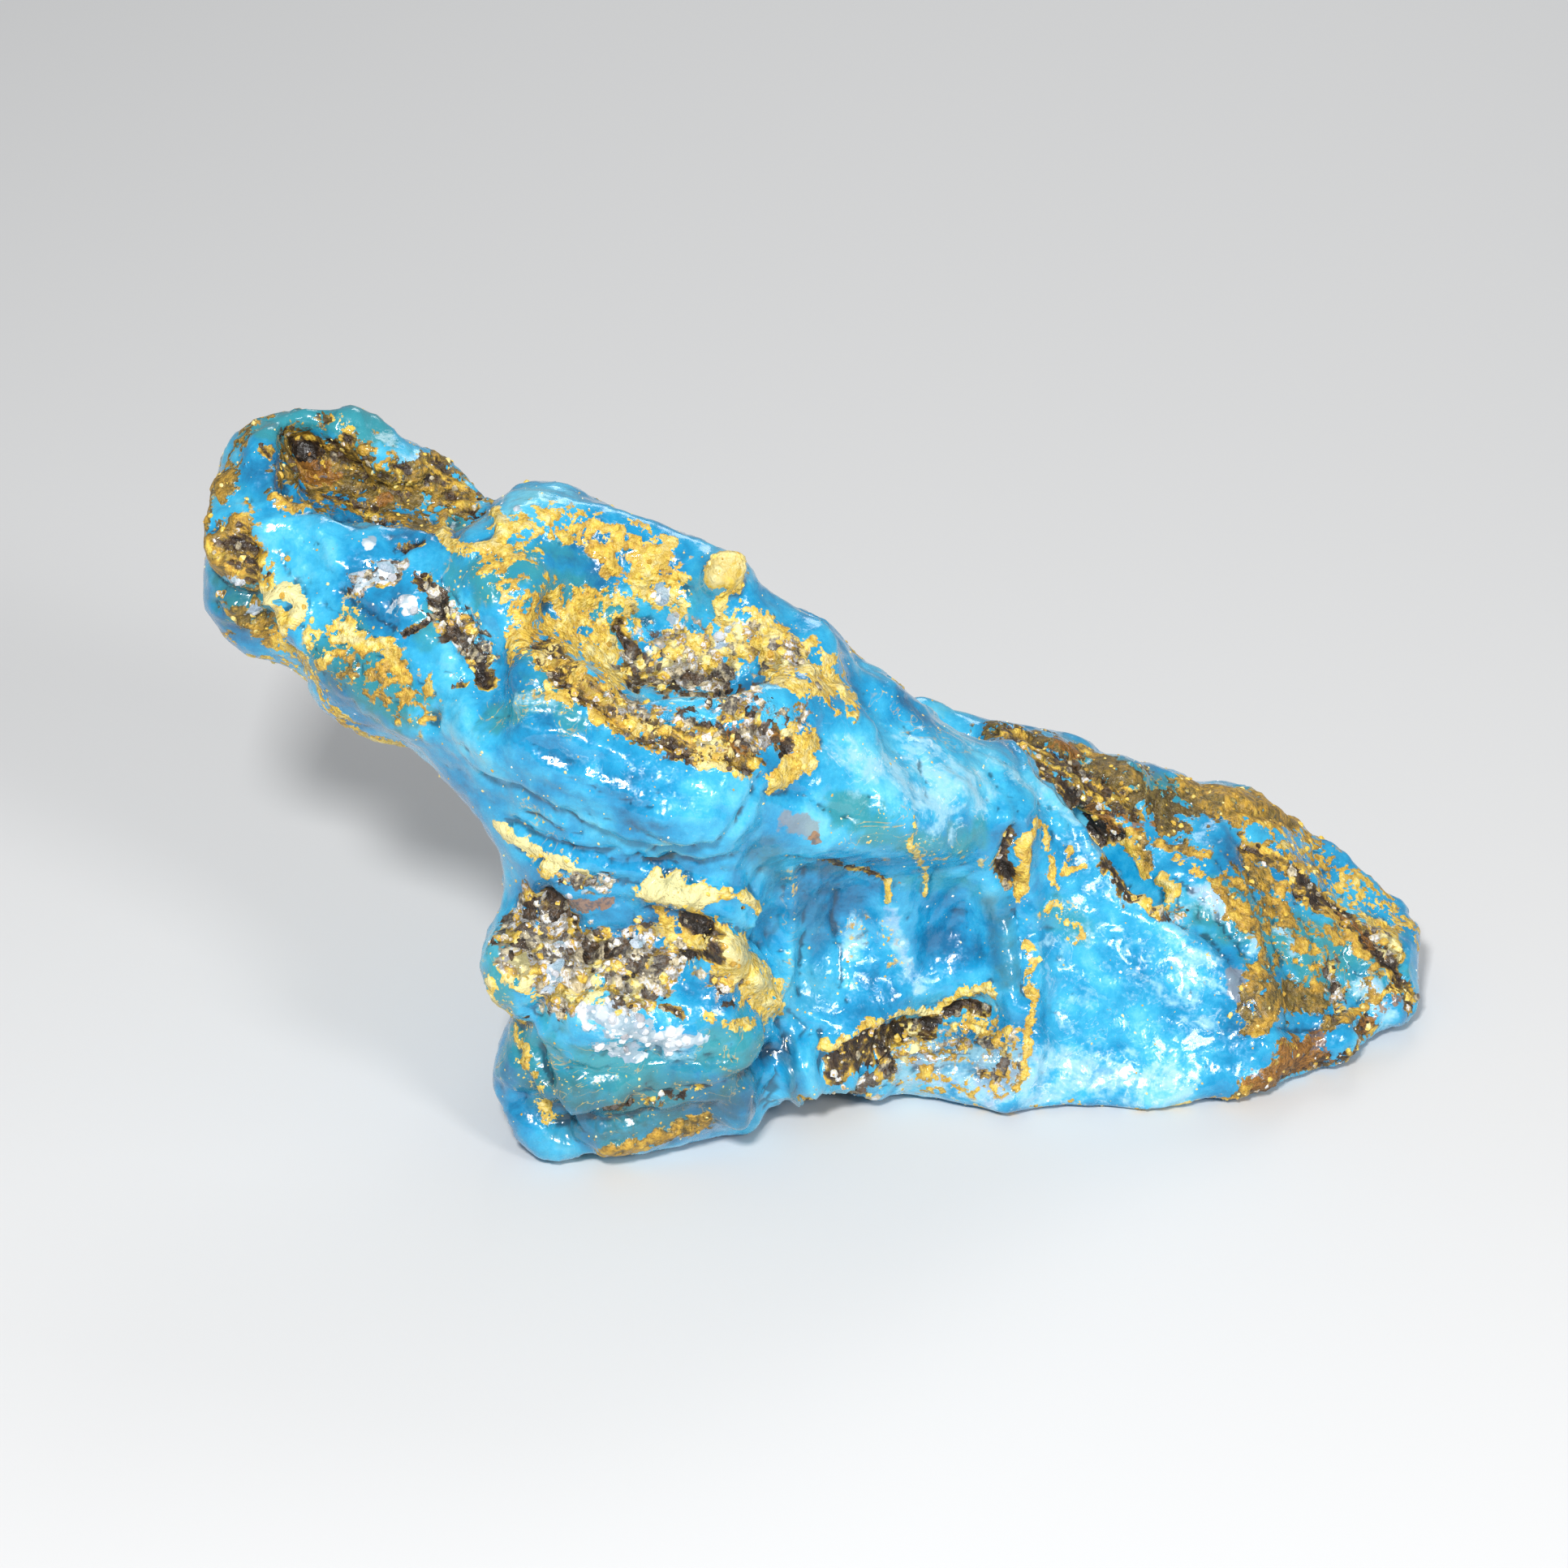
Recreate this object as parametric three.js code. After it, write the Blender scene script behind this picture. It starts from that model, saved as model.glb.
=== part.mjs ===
// Rough blue amber: one lump of opaque, weathered resin, lying free on the surface that it was put down on.
// Millimetres, +Z up. The long side runs along X, the broad front faces -Y, and the lump rests on Z = 0.
//
// The lump is a distance field: a function that gives, for any point, how far it is outside (+) or inside (-) the
// resin. Each form of the lump is a small field of its own. Forms are welded together with a soft join, hollows and
// creases are carved out of them, and the surface is then drawn round the result as one closed mesh.
import * as THREE from "three";
import { ImprovedNoise } from "three/addons/math/ImprovedNoise.js";

// ---- Driving dimensions ----
const NODE_NAME = "rough_amber";
const CELL = 1.3; // cube of the lattice that the skin is found on
const TRIANGLES = 9400; // in the finished mesh
const RELAX_ROUNDS = 6;
const BOX_MIN = [-44, -14, -3.1]; // the box that the lattice fills
const BOX_MAX = [50, 32, 50];
const WELD = { broad: 3.2, firm: 2, tight: 1.2, knob: 1 }; // width of the fillet where forms join
const CARVE_FILLET = 1.6; // and where a hollow meets the skin
const REST_FILLET = 1.2; // and round the worn faces that it rests on
const REST_Z = 0;
const REST_SNAP = 0.06; // a corner this close to the floor lies on it
const ORIGIN_SHIFT = [2.91, 9.41]; // from the lump's own axes to the middle of its outline
// Lumps of the skin: [size of a lump, height]
const SKIN_LUMPS = [
  [9, 1.1],
  [4.6, 0.75],
  [2.6, 0.3],
];

// ---- Fields ----
const DEG = Math.PI / 180;

// Turns a point into the frame of a form that stands at `at` and is turned about X, then Y, then Z, in degrees.
function placed(at, turn, field) {
  const rotation = new THREE.Matrix4().makeRotationFromEuler(
    new THREE.Euler(turn[0] * DEG, turn[1] * DEG, turn[2] * DEG, "ZYX"),
  );
  const e = rotation.elements;
  return (x, y, z) => {
    const u = x - at[0];
    const v = y - at[1];
    const w = z - at[2];
    return field(
      e[0] * u + e[1] * v + e[2] * w,
      e[4] * u + e[5] * v + e[6] * w,
      e[8] * u + e[9] * v + e[10] * w,
    );
  };
}

// An egg-shaped lump with these three radii.
function lump(at, [a, b, c], turn = [0, 0, 0]) {
  return placed(at, turn, (u, v, w) => {
    const near = Math.hypot(u / a, v / b, w / c);
    const slope = Math.hypot(u / (a * a), v / (b * b), w / (c * c));
    return slope < 1e-9 ? -Math.min(a, b, c) : (near * (near - 1)) / slope;
  });
}

// A box with rounded edges.
function block(at, half, round, turn = [0, 0, 0]) {
  return placed(at, turn, (u, v, w) => {
    const a = Math.abs(u) - half[0] + round;
    const b = Math.abs(v) - half[1] + round;
    const c = Math.abs(w) - half[2] + round;
    const outside = Math.hypot(Math.max(a, 0), Math.max(b, 0), Math.max(c, 0));
    return outside + Math.min(Math.max(a, b, c), 0) - round;
  });
}

// A ridge, or a groove when it is carved: a chain of [x, y, z, radius].
function ridge(...stops) {
  const legs = stops.slice(1).map((to, i) => {
    const from = stops[i];
    const along = [to[0] - from[0], to[1] - from[1], to[2] - from[2]];
    const lengthSquared = along[0] ** 2 + along[1] ** 2 + along[2] ** 2;
    return (x, y, z) => {
      const u = x - from[0];
      const v = y - from[1];
      const w = z - from[2];
      const share = (u * along[0] + v * along[1] + w * along[2]) / lengthSquared;
      const t = Math.min(1, Math.max(0, share));
      const off = Math.hypot(u - t * along[0], v - t * along[1], w - t * along[2]);
      return off - from[3] - (to[3] - from[3]) * t;
    };
  });
  return (x, y, z) => Math.min(...legs.map((leg) => leg(x, y, z)));
}

// Everything on the inner side of a flat face through `at`.
function behind(at, normal) {
  const n = new THREE.Vector3(...normal).normalize();
  const offset = n.dot(new THREE.Vector3(...at));
  return (x, y, z) => n.x * x + n.y * y + n.z * z - offset;
}

// The smaller of two distances, rounded off over the width k.
function softer(a, b, k) {
  const near = Math.max(k - Math.abs(a - b), 0) / k;
  return Math.min(a, b) - near * near * k * 0.25;
}

const weld = (k, first, ...rest) => (x, y, z) =>
  rest.reduce((d, form) => softer(d, form(x, y, z), k), first(x, y, z));

const common = (k, first, ...rest) => (x, y, z) =>
  rest.reduce((d, form) => -softer(-d, -form(x, y, z), k), first(x, y, z));

const carve = (k, body, ...hollows) => (x, y, z) =>
  hollows.reduce((d, hollow) => -softer(-d, hollow(x, y, z), k), body(x, y, z));

// ---- The high left part: trunk, shoulder, ledge, foot ----
const trunk = weld(
  4,
  lump([-7, 6.5, 20], [11.5, 9.5, 17]),
  lump([-2, 9, 8], [14, 8.5, 11]),
  lump([-18, 4.4, 26.2], [4.6, 4.5, 4.5]),
);
const shoulder = ridge([-17, 12.5, 35, 6.2], [-10, 12.2, 32.8, 6.4], [-5, 11.8, 30.2, 6.2], [-2.2, 11, 28, 5.4]);
const neck = lump([-10, 2, 20], [8.3, 5.5, 9]);
const ledge = ridge([-17, 1.5, 30.3, 4.3], [-12, -0.5, 28.4, 4.5], [-5.5, -1.8, 26, 4.2]);
const foot = weld(
  WELD.firm,
  common(1.6, block([-8.8, -0.6, 6.2], [7.2, 6, 7.6], 3), behind([-7.9, -3.9, 0], [0.28, -0.72, -0.63])),
  lump([-16.2, -1.2, 13.8], [3.9, 4.2, 3.8]),
  lump([-14.8, -1.2, 4.8], [4.1, 4.9, 5.8], [0, 12, 0]),
  lump([-7, -0.8, 12], [6.8, 5.4, 6]),
);

// ---- The arm that reaches up to the left, and its hollow head ----
const arm = weld(
  1.5,
  ridge([-17, 8, 30.8, 7], [-26, 11.5, 30.8, 6.8], [-31, 15, 32.2, 5.4]),
  ridge([-33, 13.5, 35.2, 2.6], [-28, 12.2, 36, 3.2], [-23.6, 9.6, 35.2, 2.6]),
);
const head = weld(
  2.2,
  lump([-31.8, 18.5, 38.4], [6.2, 5.5, 5.2]),
  lump([-25.8, 19, 37], [5, 5, 4.5]),
  lump([-34.8, 16, 33.4], [3.5, 4.5, 4.4]),
  lump([-33.2, 14.5, 30.5], [3.5, 4, 3.1]),
);

// ---- The crest that falls to the right, with the brow and the curtain wall under it ----
const crest = ridge([1.5, 11, 27, 4.8], [7, 11, 22.2, 4.2], [13, 11, 17.6, 3.4], [17.2, 10.4, 15, 2.4]);
const brow = ridge([-3, 2.6, 25.4, 5.4], [4, 4.6, 21.6, 5], [9, 7, 19.4, 4.2], [13.2, 10.4, 17.2, 3.2]);
const wall = common(
  1.4,
  block([6.5, 11, 10], [10, 8, 11], 2),
  behind([6, 4.6, 12], [-0.35, -0.9, 0.12]),
  behind([8, 4.6, 12], [0.12, -0.95, 0.1]),
);
const shelf = common(
  0.9,
  block([6.5, 7, 6], [9, 8.5, 8], 1),
  behind([6.5, 0.6, 6.9], [-0.05, -0.55, 0.83]),
  behind([6.5, 0.7, 6.7], [0.24, -0.9, -0.35]),
  behind([6.5, 1, 6], [0.36, 0.02, -0.93]),
);
const mound = ridge([6.5, 6.2, 1, 3], [10.5, 5.6, 1.4, 3.2], [15, 4.8, 1.8, 3.2]);

// ---- The right end: a broad smooth facet, a sloping top and a blunt prow ----
const FACET = behind([20, 1.7, 0], [0.06, -0.902, 0.428]);
const prow = common(
  1.8,
  FACET,
  behind([31.5, 8.5, 7.2], [0.44, -0.478, 0.759]),
  behind([34.5, 4.2, 2.4], [0.55, -0.62, 0.56]),
  behind([37.6, 6, 2.6], [0.3, -0.6, -0.74]),
  behind([30, 23.5, 8], [-0.12, 1, 0.25]),
  behind([44.3, 14, 3.5], [0.95, 0.1, -0.3]),
  behind([13.9, 2, 10], [-1, -0.5, 0]),
  behind([16, 20, 18], [0.35, 0.25, 0.9]),
);
const facetWall = common(
  1,
  FACET,
  behind([20.4, 9.9, 16.8], [0.48, 0.8, 0.22]),
  behind([14, 14, 21.6], [0.3, 0.35, 0.89]),
  behind([14.2, 10, 10], [-1, 0.1, 0]),
  behind([20, 10, 1], [0, 0, -1]),
);
const rib = ridge([15, 6.6, 13, 1.2], [15.4, 4.6, 9, 1.6], [15.6, 3, 5, 1.6], [15.2, 2.2, 1.5, 1.6]);

// ---- The back ----
const backHump = ridge([6, 19, 15, 6], [16, 20, 12.6, 5.8], [29, 20, 8.8, 5.4], [36, 17.5, 4.7, 4.1], [39.6, 14.5, 3.6, 3.2]);
const backRoot = weld(
  4,
  lump([-4, 16, 10], [11, 8, 14]),
  lump([12, 17.5, 6], [13, 7.5, 9]),
  lump([-15.5, 18, 27], [6.5, 4.5, 6]),
  lump([-9.5, 20.5, 15.5], [5, 4, 6]),
  lump([1.5, 22, 9.5], [6, 4.2, 5.5]),
);

// ---- Hollows and creases ----
const dish = weld(
  2,
  lump([-9.2, 3.6, 38.6], [12, 6.5, 6.8], [30, 24, 0]),
  ridge([-13, 2.6, 34, 1.4], [-8, 1.8, 32.2, 1.8], [-3.4, 2, 30.4, 2]),
);
const bowl = weld(
  1,
  lump([-28.4, 14.8, 40.6], [5.2, 4.6, 3.4], [0, 14, -10]),
  lump([-23.8, 15.6, 39.6], [4.4, 4, 2.8], [0, 14, -10]),
  lump([-31.4, 18, 41], [1.6, 1.6, 2.6]),
);
const gully = ridge([-23, 7, 38.5, 1], [-21, 4.2, 36.6, 1.5], [-19.2, 2.2, 34, 1.5], [-18.3, -1, 31.6, 1.2]);
const alcove = weld(
  3.5,
  lump([6.6, -1.2, 13.8], [7.6, 6.2, 6.2], [0, -8, 0]),
  lump([11, 1.5, 12.8], [3.4, 6.4, 5], [0, 0, 10]),
  lump([1, -2.4, 15], [3.6, 4.4, 6]),
  ridge([-1.5, -3.4, 22, 1.2], [-1, -3, 18, 1.6]),
);
const undercut = weld(
  1.5,
  lump([9.5, 1.2, 5.2], [5.5, 4.6, 2], [0, -20, 16]),
  lump([3.5, -0.6, 2], [4.8, 4.4, 2.2], [0, -20, 16]),
);
const slit = ridge([13.2, 1.5, 17.5, 0.8], [13.9, 2.4, 14, 0.9], [13.6, 2.8, 9, 0.8]);
const crevice = ridge([6, 17, 23.6, 1.2], [14, 16.7, 17.9, 1.5], [20.5, 13.2, 14.2, 2.1], [25.4, 10.2, 11.2, 1.3]);
const backGrooves = weld(
  0.6,
  ridge([-17.5, 23, 30, 1.2], [-13.5, 22.6, 21.5, 1.8], [-13, 21.5, 12, 1.4]),
  ridge([-6, 24, 17, 1.5], [-3.6, 25.6, 9, 2], [-4.5, 23.5, 3, 1.2]),
  ridge([8, 25.4, 12.5, 1.4], [17, 26.4, 7.5, 1.8], [31, 26, 4.5, 1.3]),
);
const notch = ridge([-2, 14, 35, 1.2], [-1.2, 10.5, 33.5, 0.8]);
const folds = weld(
  0.4,
  ridge([5, 9.5, 29.5, 0.9], [7.5, 7, 26.2, 0.9], [9, 4.6, 23.4, 0.7]),
  ridge([-15.5, -3.4, 25, 0.5], [-10, -4.6, 23.2, 0.7], [-5.5, -4.6, 21.9, 0.7]),
  ridge([-14.5, -3.6, 22.6, 0.4], [-9, -4.4, 20.8, 0.5], [-4.5, -3.9, 19.8, 0.5]),
);

// ---- Smaller forms, from end to end ----
const leftKnobs = weld(
  0.8,
  lump([-35.2, 12.9, 36.4], [2.4, 2.8, 2.6]),
  lump([-34.8, 12, 31.4], [2.8, 2.6, 2.4]),
  lump([-32.6, 10.4, 34.6], [1.9, 1.8, 1.9]),
  lump([-35.2, 16.2, 39.4], [2, 2.4, 1.9]),
);
const leftCreases = weld(
  0.4,
  ridge([-38.6, 12, 34.4, 1], [-35.6, 9.4, 34, 1], [-33.6, 9, 32.6, 0.8]),
  ridge([-37.2, 12, 38.8, 0.9], [-33.6, 9.6, 36.9, 0.9], [-31, 8.4, 36.4, 0.8]),
  lump([-36.2, 9.6, 29], [1.4, 1.4, 1]),
);
const armRipples = weld(
  0.8,
  ridge([-31.5, 8.8, 32.6, 2], [-27, 6, 30.6, 2.1], [-23.2, 4, 28.8, 1.8]),
  ridge([-30, 10.6, 29, 2], [-25.4, 8, 27.4, 1.8]),
);
const armCreases = ridge([-32.4, 7.8, 35.2, 0.5], [-28, 4.8, 33.7, 0.9], [-23.8, 2.4, 31.4, 0.5]);
const dishCrumbs = weld(
  0.8,
  lump([-3.7, 9.9, 35.8], [1.8, 1.8, 1.8]),
  lump([1.6, 9.8, 32.6], [2.4, 2, 1.9]),
  lump([-14.2, 9.6, 35.8], [2.6, 2, 2]),
  lump([-9.2, 10, 32.6], [2.4, 2, 2]),
  lump([-12.6, 6.6, 32.4], [2, 1.8, 1.8]),
  lump([-17.4, 7, 37], [2, 2.2, 1.4]),
);
const dishPits = weld(0.5, lump([-11.4, 4.8, 33.6], [2.2, 1.5, 1.6]), lump([-5.2, 5, 31.4], [2, 1.2, 1.3]));
const slopeKnobs = weld(
  0.8,
  lump([3.8, 5.4, 27.4], [1.9, 2.2, 1.9]),
  lump([8.4, 7.4, 23.4], [2, 2, 1.8]),
  lump([11.2, 6.8, 21.4], [2, 1.8, 1.8]),
  lump([5.8, 2, 23], [2.4, 1.6, 1.8]),
  lump([0.4, 0.4, 24.6], [2.6, 2, 2.2]),
);
const footCrumbs = weld(
  0.6,
  lump([-7, -2.6, 19.2], [3, 1.8, 1.5]),
  ridge([-4.6, -2.4, 19, 1.2], [-2.6, -1.4, 17.6, 1.3]),
  lump([-4.4, -3.8, 15.6], [2, 1.9, 1.8]),
  lump([-2.5, -1.6, 13], [2, 2, 1.7]),
  lump([-1.2, 0.6, 11.2], [2, 1.8, 1.4]),
  lump([-11.6, -5.7, 11.6], [3.2, 1.8, 2]),
  lump([-6.6, -5.6, 11.4], [2.4, 1.7, 1.8]),
);
const footCreases = weld(
  0.4,
  ridge([-15.6, -3.2, 18.6, 0.9], [-13.6, -4.2, 15.2, 1.3]),
  ridge([-9.6, -5, 14.6, 1.1], [-6, -5.4, 13.8, 1]),
  ridge([-18, -4, 8.7, 0.9], [-12, -7.2, 8.4, 1], [-4.6, -7.2, 8.8, 0.9]),
  ridge([-17.8, -3.8, 4.6, 0.8], [-11, -7, 4.2, 0.9], [-4.6, -6.2, 4.8, 0.8]),
  ridge([-17, -4.4, 6, 0.8], [-15, -5.4, 3, 1], [-12.6, -5.2, 0.6, 1]),
);
const flutes = weld(
  0.6,
  ridge([0.8, 3.6, 17.6, 1], [0.5, 3.2, 10, 1.2]),
  ridge([7, 5.4, 17, 1], [7.2, 5.4, 9.4, 1.2]),
  ridge([9.8, 6.6, 16.4, 0.9], [9.6, 6.8, 9.4, 1]),
);
const endBands = weld(
  0.6,
  ridge([28, 14.4, 11.6, 1.6], [30.6, 9.4, 7.8, 1.6], [33, 4.8, 3.6, 1.4]),
  ridge([33, 18.4, 10.1, 1.7], [35.4, 11, 5.2, 1.7], [37.6, 6.8, 2.6, 1.4]),
  ridge([37.4, 19.6, 5.4, 1.6], [41, 12.2, 2.2, 1.9]),
);
const crustKnobs = weld(
  0.8,
  lump([16, 20.2, 17.3], [2.6, 2.4, 1.9]),
  lump([23, 18, 15.6], [2.6, 2.4, 2]),
  lump([25.2, 12.4, 9.8], [1.7, 1.7, 1.7]),
  lump([11, 2.6, 2.6], [2.6, 1.6, 1.6]),
  lump([7.4, 3.2, 2.4], [2.2, 1.6, 1.5]),
);

// ---- The whole lump ----
const upper = weld(WELD.broad, trunk, shoulder, crest, neck, brow, backHump, backRoot, arm, head);
const withFoot = weld(WELD.firm, upper, foot);
const withWall = weld(1.6, withFoot, wall, mound, shelf);
const rightEnd = weld(2.5, prow, facetWall);
const solid = weld(WELD.tight, weld(2.2, withWall, ledge), rightEnd, rib);
const deepHollows = [dish, alcove, undercut, bowl, gully, crevice, notch, slit, folds, backGrooves];
const hollowed = carve(CARVE_FILLET, solid, ...deepHollows);
const knobs = [leftKnobs, armRipples, dishCrumbs, slopeKnobs, footCrumbs, flutes, endBands, crustKnobs];
const knobbed = weld(WELD.knob, hollowed, ...knobs);
const creased = carve(1.2, knobbed, leftCreases, armCreases, dishPits, footCreases);

// Where the skin is a rough crust, and where it is worn smooth.
const crusted = weld(
  4,
  lump([-7, 5, 32], [12, 8, 6], [20, 24, 0]),
  lump([-8, -6, 16], [9, 5, 6]),
  lump([11, 3, 1], [7, 5, 4]),
  lump([-27, 15, 40], [9, 7, 4]),
  lump([24, 20, 14], [22, 7, 7], [0, 22, 0]),
  lump([37, 6, 5], [6, 8, 8]),
  lump([-35, 12, 33], [4, 5, 8]),
  lump([4, 25, 12], [26, 5, 14], [0, 18, 0]),
);
const noise = new ImprovedNoise();
const NOISE_START = [17.3, 5.1, 9.7]; // where in the noise the lump lies
const SMOOTH_SHARE = 0.55; // of the height of a lump, off the crust
const CRUST_SHARE = 1.35; // and on it
function roughened(x, y, z) {
  const d = creased(x, y, z);
  if (Math.abs(d) > 6) return d;
  const off = Math.min(1, Math.max(0, crusted(x, y, z) / 5 + 0.5));
  const share = CRUST_SHARE + (SMOOTH_SHARE - CRUST_SHARE) * off;
  return SKIN_LUMPS.reduce((sum, [size, height]) => {
    const [a, b, c] = NOISE_START;
    return sum + share * height * noise.noise(x / size + a, y / size + b, z / size + c);
  }, d);
}
// The underside is hollowed, so the lump stands on worn patches under the foot, the front and the back.
const underside = weld(
  3,
  lump([3, 9, -1.2], [10, 6.5, 4.2], [0, 0, 20]),
  lump([25, 13.5, -1.5], [13, 5.5, 4], [0, 0, -8]),
  lump([37, 17, -1], [7, 6, 3]),
  lump([-7, 12, -1], [6, 4, 3], [0, 0, 30]),
);
const amber = common(REST_FILLET, carve(1.6, roughened, underside), behind([0, 0, REST_Z], [0, 0, -1]));

// ---- The skin ----
// The lattice is made of cubes, each parted into six tetrahedra round its long diagonal. Where an edge of the lattice
// crosses the skin there is one corner, so the mesh is closed whatever the form is.
const count = BOX_MAX.map((end, axis) => Math.ceil((end - BOX_MIN[axis]) / CELL) + 1);
const pointAt = (i, j, k) => [BOX_MIN[0] + i * CELL, BOX_MIN[1] + j * CELL, BOX_MIN[2] + k * CELL];
const indexOf = (i, j, k) => i + count[0] * (j + count[1] * k);
const field = new Float64Array(count[0] * count[1] * count[2]);
for (let k = 0; k < count[2]; k++)
  for (let j = 0; j < count[1]; j++)
    for (let i = 0; i < count[0]; i++) {
      const value = amber(...pointAt(i, j, k));
      field[indexOf(i, j, k)] = Math.abs(value) < 1e-6 ? 1e-6 : value;
    }

const corners = []; // [x, y, z]
const cornerOnEdge = new Map();
function cornerBetween(a, b) {
  const key = a < b ? `${a},${b}` : `${b},${a}`;
  if (!cornerOnEdge.has(key)) {
    const [p, q] = [a, b].map((n) =>
      pointAt(n % count[0], Math.floor(n / count[0]) % count[1], Math.floor(n / (count[0] * count[1]))),
    );
    const t = field[a] / (field[a] - field[b]);
    cornerOnEdge.set(key, corners.length);
    corners.push(p.map((value, axis) => value + (q[axis] - value) * t));
  }
  return cornerOnEdge.get(key);
}

let triangles = []; // [corner, corner, corner], counter-clockwise seen from outside
function addTriangle(a, b, c, outward) {
  const [p, q, r] = [a, b, c].map((n) => new THREE.Vector3(...corners[n]));
  const normal = q.sub(p).cross(r.sub(p));
  triangles.push(normal.dot(outward) < 0 ? [a, c, b] : [a, b, c]);
}
// The six ways from one corner of a cube to the far one, an axis at a time.
const WAYS = [[0, 1, 2], [0, 2, 1], [1, 0, 2], [1, 2, 0], [2, 0, 1], [2, 1, 0]];
for (let k = 0; k < count[2] - 1; k++)
  for (let j = 0; j < count[1] - 1; j++)
    for (let i = 0; i < count[0] - 1; i++)
      for (const way of WAYS) {
        const step = [i, j, k];
        const tetra = [[...step]];
        for (const axis of way) {
          step[axis] += 1;
          tetra.push([...step]);
        }
        const ids = tetra.map(([a, b, c]) => indexOf(a, b, c));
        const inside = [0, 1, 2, 3].filter((n) => field[ids[n]] < 0);
        const outside = [0, 1, 2, 3].filter((n) => field[ids[n]] >= 0);
        if (!inside.length || !outside.length) continue;
        const middle = (set) =>
          set
            .reduce((sum, n) => sum.add(new THREE.Vector3(...tetra[n])), new THREE.Vector3())
            .divideScalar(set.length);
        const outward = middle(outside).sub(middle(inside));
        const cut = (a, b) => cornerBetween(ids[a], ids[b]);
        if (inside.length === 2) {
          const [a, b] = inside;
          const [c, d] = outside;
          addTriangle(cut(a, c), cut(a, d), cut(b, d), outward);
          addTriangle(cut(a, c), cut(b, d), cut(b, c), outward);
        } else {
          const [single] = inside.length === 1 ? inside : outside;
          const others = inside.length === 1 ? outside : inside;
          addTriangle(...others.map((n) => cut(single, n)), outward);
        }
      }

// Moves a point onto the skin along the slope of the field.
function ontoSkin(p, rounds) {
  for (let round = 0; round < rounds; round++) {
    const h = 0.02;
    const d = amber(...p);
    const slope = [
      (amber(p[0] + h, p[1], p[2]) - d) / h,
      (amber(p[0], p[1] + h, p[2]) - d) / h,
      (amber(p[0], p[1], p[2] + h) - d) / h,
    ];
    const steep = Math.max(0.3, slope[0] ** 2 + slope[1] ** 2 + slope[2] ** 2);
    const reach = Math.max(-0.5, Math.min(0.5, d)) / steep;
    for (let axis = 0; axis < 3; axis++) p[axis] -= reach * slope[axis];
  }
  return p;
}

// ---- Fewer, evener triangles ----
const around = corners.map(() => new Set()); // the triangles at a corner
triangles.forEach((triangle, n) => triangle.forEach((corner) => around[corner].add(n)));
const neighbours = (corner) => {
  const set = new Set();
  for (const n of around[corner]) for (const other of triangles[n]) if (other !== corner) set.add(other);
  return set;
};
const minus = (a, b) => [a[0] - b[0], a[1] - b[1], a[2] - b[2]];
const dot = (a, b) => a[0] * b[0] + a[1] * b[1] + a[2] * b[2];
const cross = (a, b) => [a[1] * b[2] - a[2] * b[1], a[2] * b[0] - a[0] * b[2], a[0] * b[1] - a[1] * b[0]];
const normalOf = (p, q, r) => cross(minus(q, p), minus(r, p));
const apart = (a, b) => Math.hypot(...minus(a, b));
const cosine = (a, b) => dot(a, b) / (Math.hypot(...a) * Math.hypot(...b) + 1e-12);

// Whether moving a corner turns one of its triangles over, or squashes it flat.
function turnsOver(corner, other, to, least) {
  for (const n of around[corner]) {
    const triangle = triangles[n];
    if (triangle.includes(other)) continue;
    const before = normalOf(...triangle.map((c) => corners[c]));
    const after = normalOf(...triangle.map((c) => (c === corner ? to : corners[c])));
    if (Math.hypot(...after) < 0.01 && Math.hypot(...after) < Math.hypot(...before)) return true;
    if (Math.hypot(...before) > 1e-4 && cosine(before, after) < least) return true;
  }
  return false;
}

// Closes up the edge between two corners, where that leaves the mesh closed.
function closeUp(keep, drop) {
  const near = neighbours(keep);
  const shared = [...neighbours(drop)].filter((corner) => near.has(corner));
  if (shared.length !== 2) return false;
  if (shared.some((corner) => around[corner].size < 5)) return false;
  if (around[keep].size + around[drop].size > 13) return false;
  const middle = corners[keep].map((value, axis) => (value + corners[drop][axis]) / 2);
  const to = ontoSkin([...middle], 2);
  if (apart(middle, to) > 0.4) return false;
  if (turnsOver(keep, drop, to, 0.6) || turnsOver(drop, keep, to, 0.6)) return false;
  for (const n of [...around[drop]]) {
    const triangle = triangles[n];
    if (triangle.includes(keep)) {
      for (const corner of triangle) around[corner].delete(n);
      triangles[n] = null;
    } else {
      triangle[triangle.indexOf(drop)] = keep;
      around[drop].delete(n);
      around[keep].add(n);
    }
  }
  corners[keep] = to;
  return true;
}

// Turns an edge to the other diagonal of its two triangles, where that makes them evener.
function flip(a, b) {
  const pair = [...around[a]].filter((n) => around[b].has(n));
  if (pair.length !== 2 || around[a].size < 5 || around[b].size < 5) return false;
  const forward = triangles[pair[0]][(triangles[pair[0]].indexOf(a) + 1) % 3] === b;
  const [left, right] = forward ? pair : [pair[1], pair[0]];
  const c = triangles[left].find((n) => n !== a && n !== b);
  const d = triangles[right].find((n) => n !== a && n !== b);
  if (neighbours(c).has(d)) return false;
  const [pa, pb, pc, pd] = [a, b, c, d].map((n) => corners[n]);
  const angles = (p, q, r) => Math.acos(Math.max(-1, Math.min(1, cosine(minus(q, p), minus(r, p)))));
  if (angles(pc, pa, pb) + angles(pd, pa, pb) < Math.PI + 0.05) return false;
  const was = [normalOf(pa, pb, pc), normalOf(pb, pa, pd)];
  const will = [normalOf(pa, pd, pc), normalOf(pd, pb, pc)];
  const mean = [0, 1, 2].map((axis) => was[0][axis] + was[1][axis]);
  if (will.some((normal) => cosine(normal, mean) < 0.7)) return false;
  triangles[left] = [a, d, c];
  triangles[right] = [d, b, c];
  around[b].delete(left);
  around[a].delete(right);
  around[d].add(left);
  around[c].add(right);
  return true;
}

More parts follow.
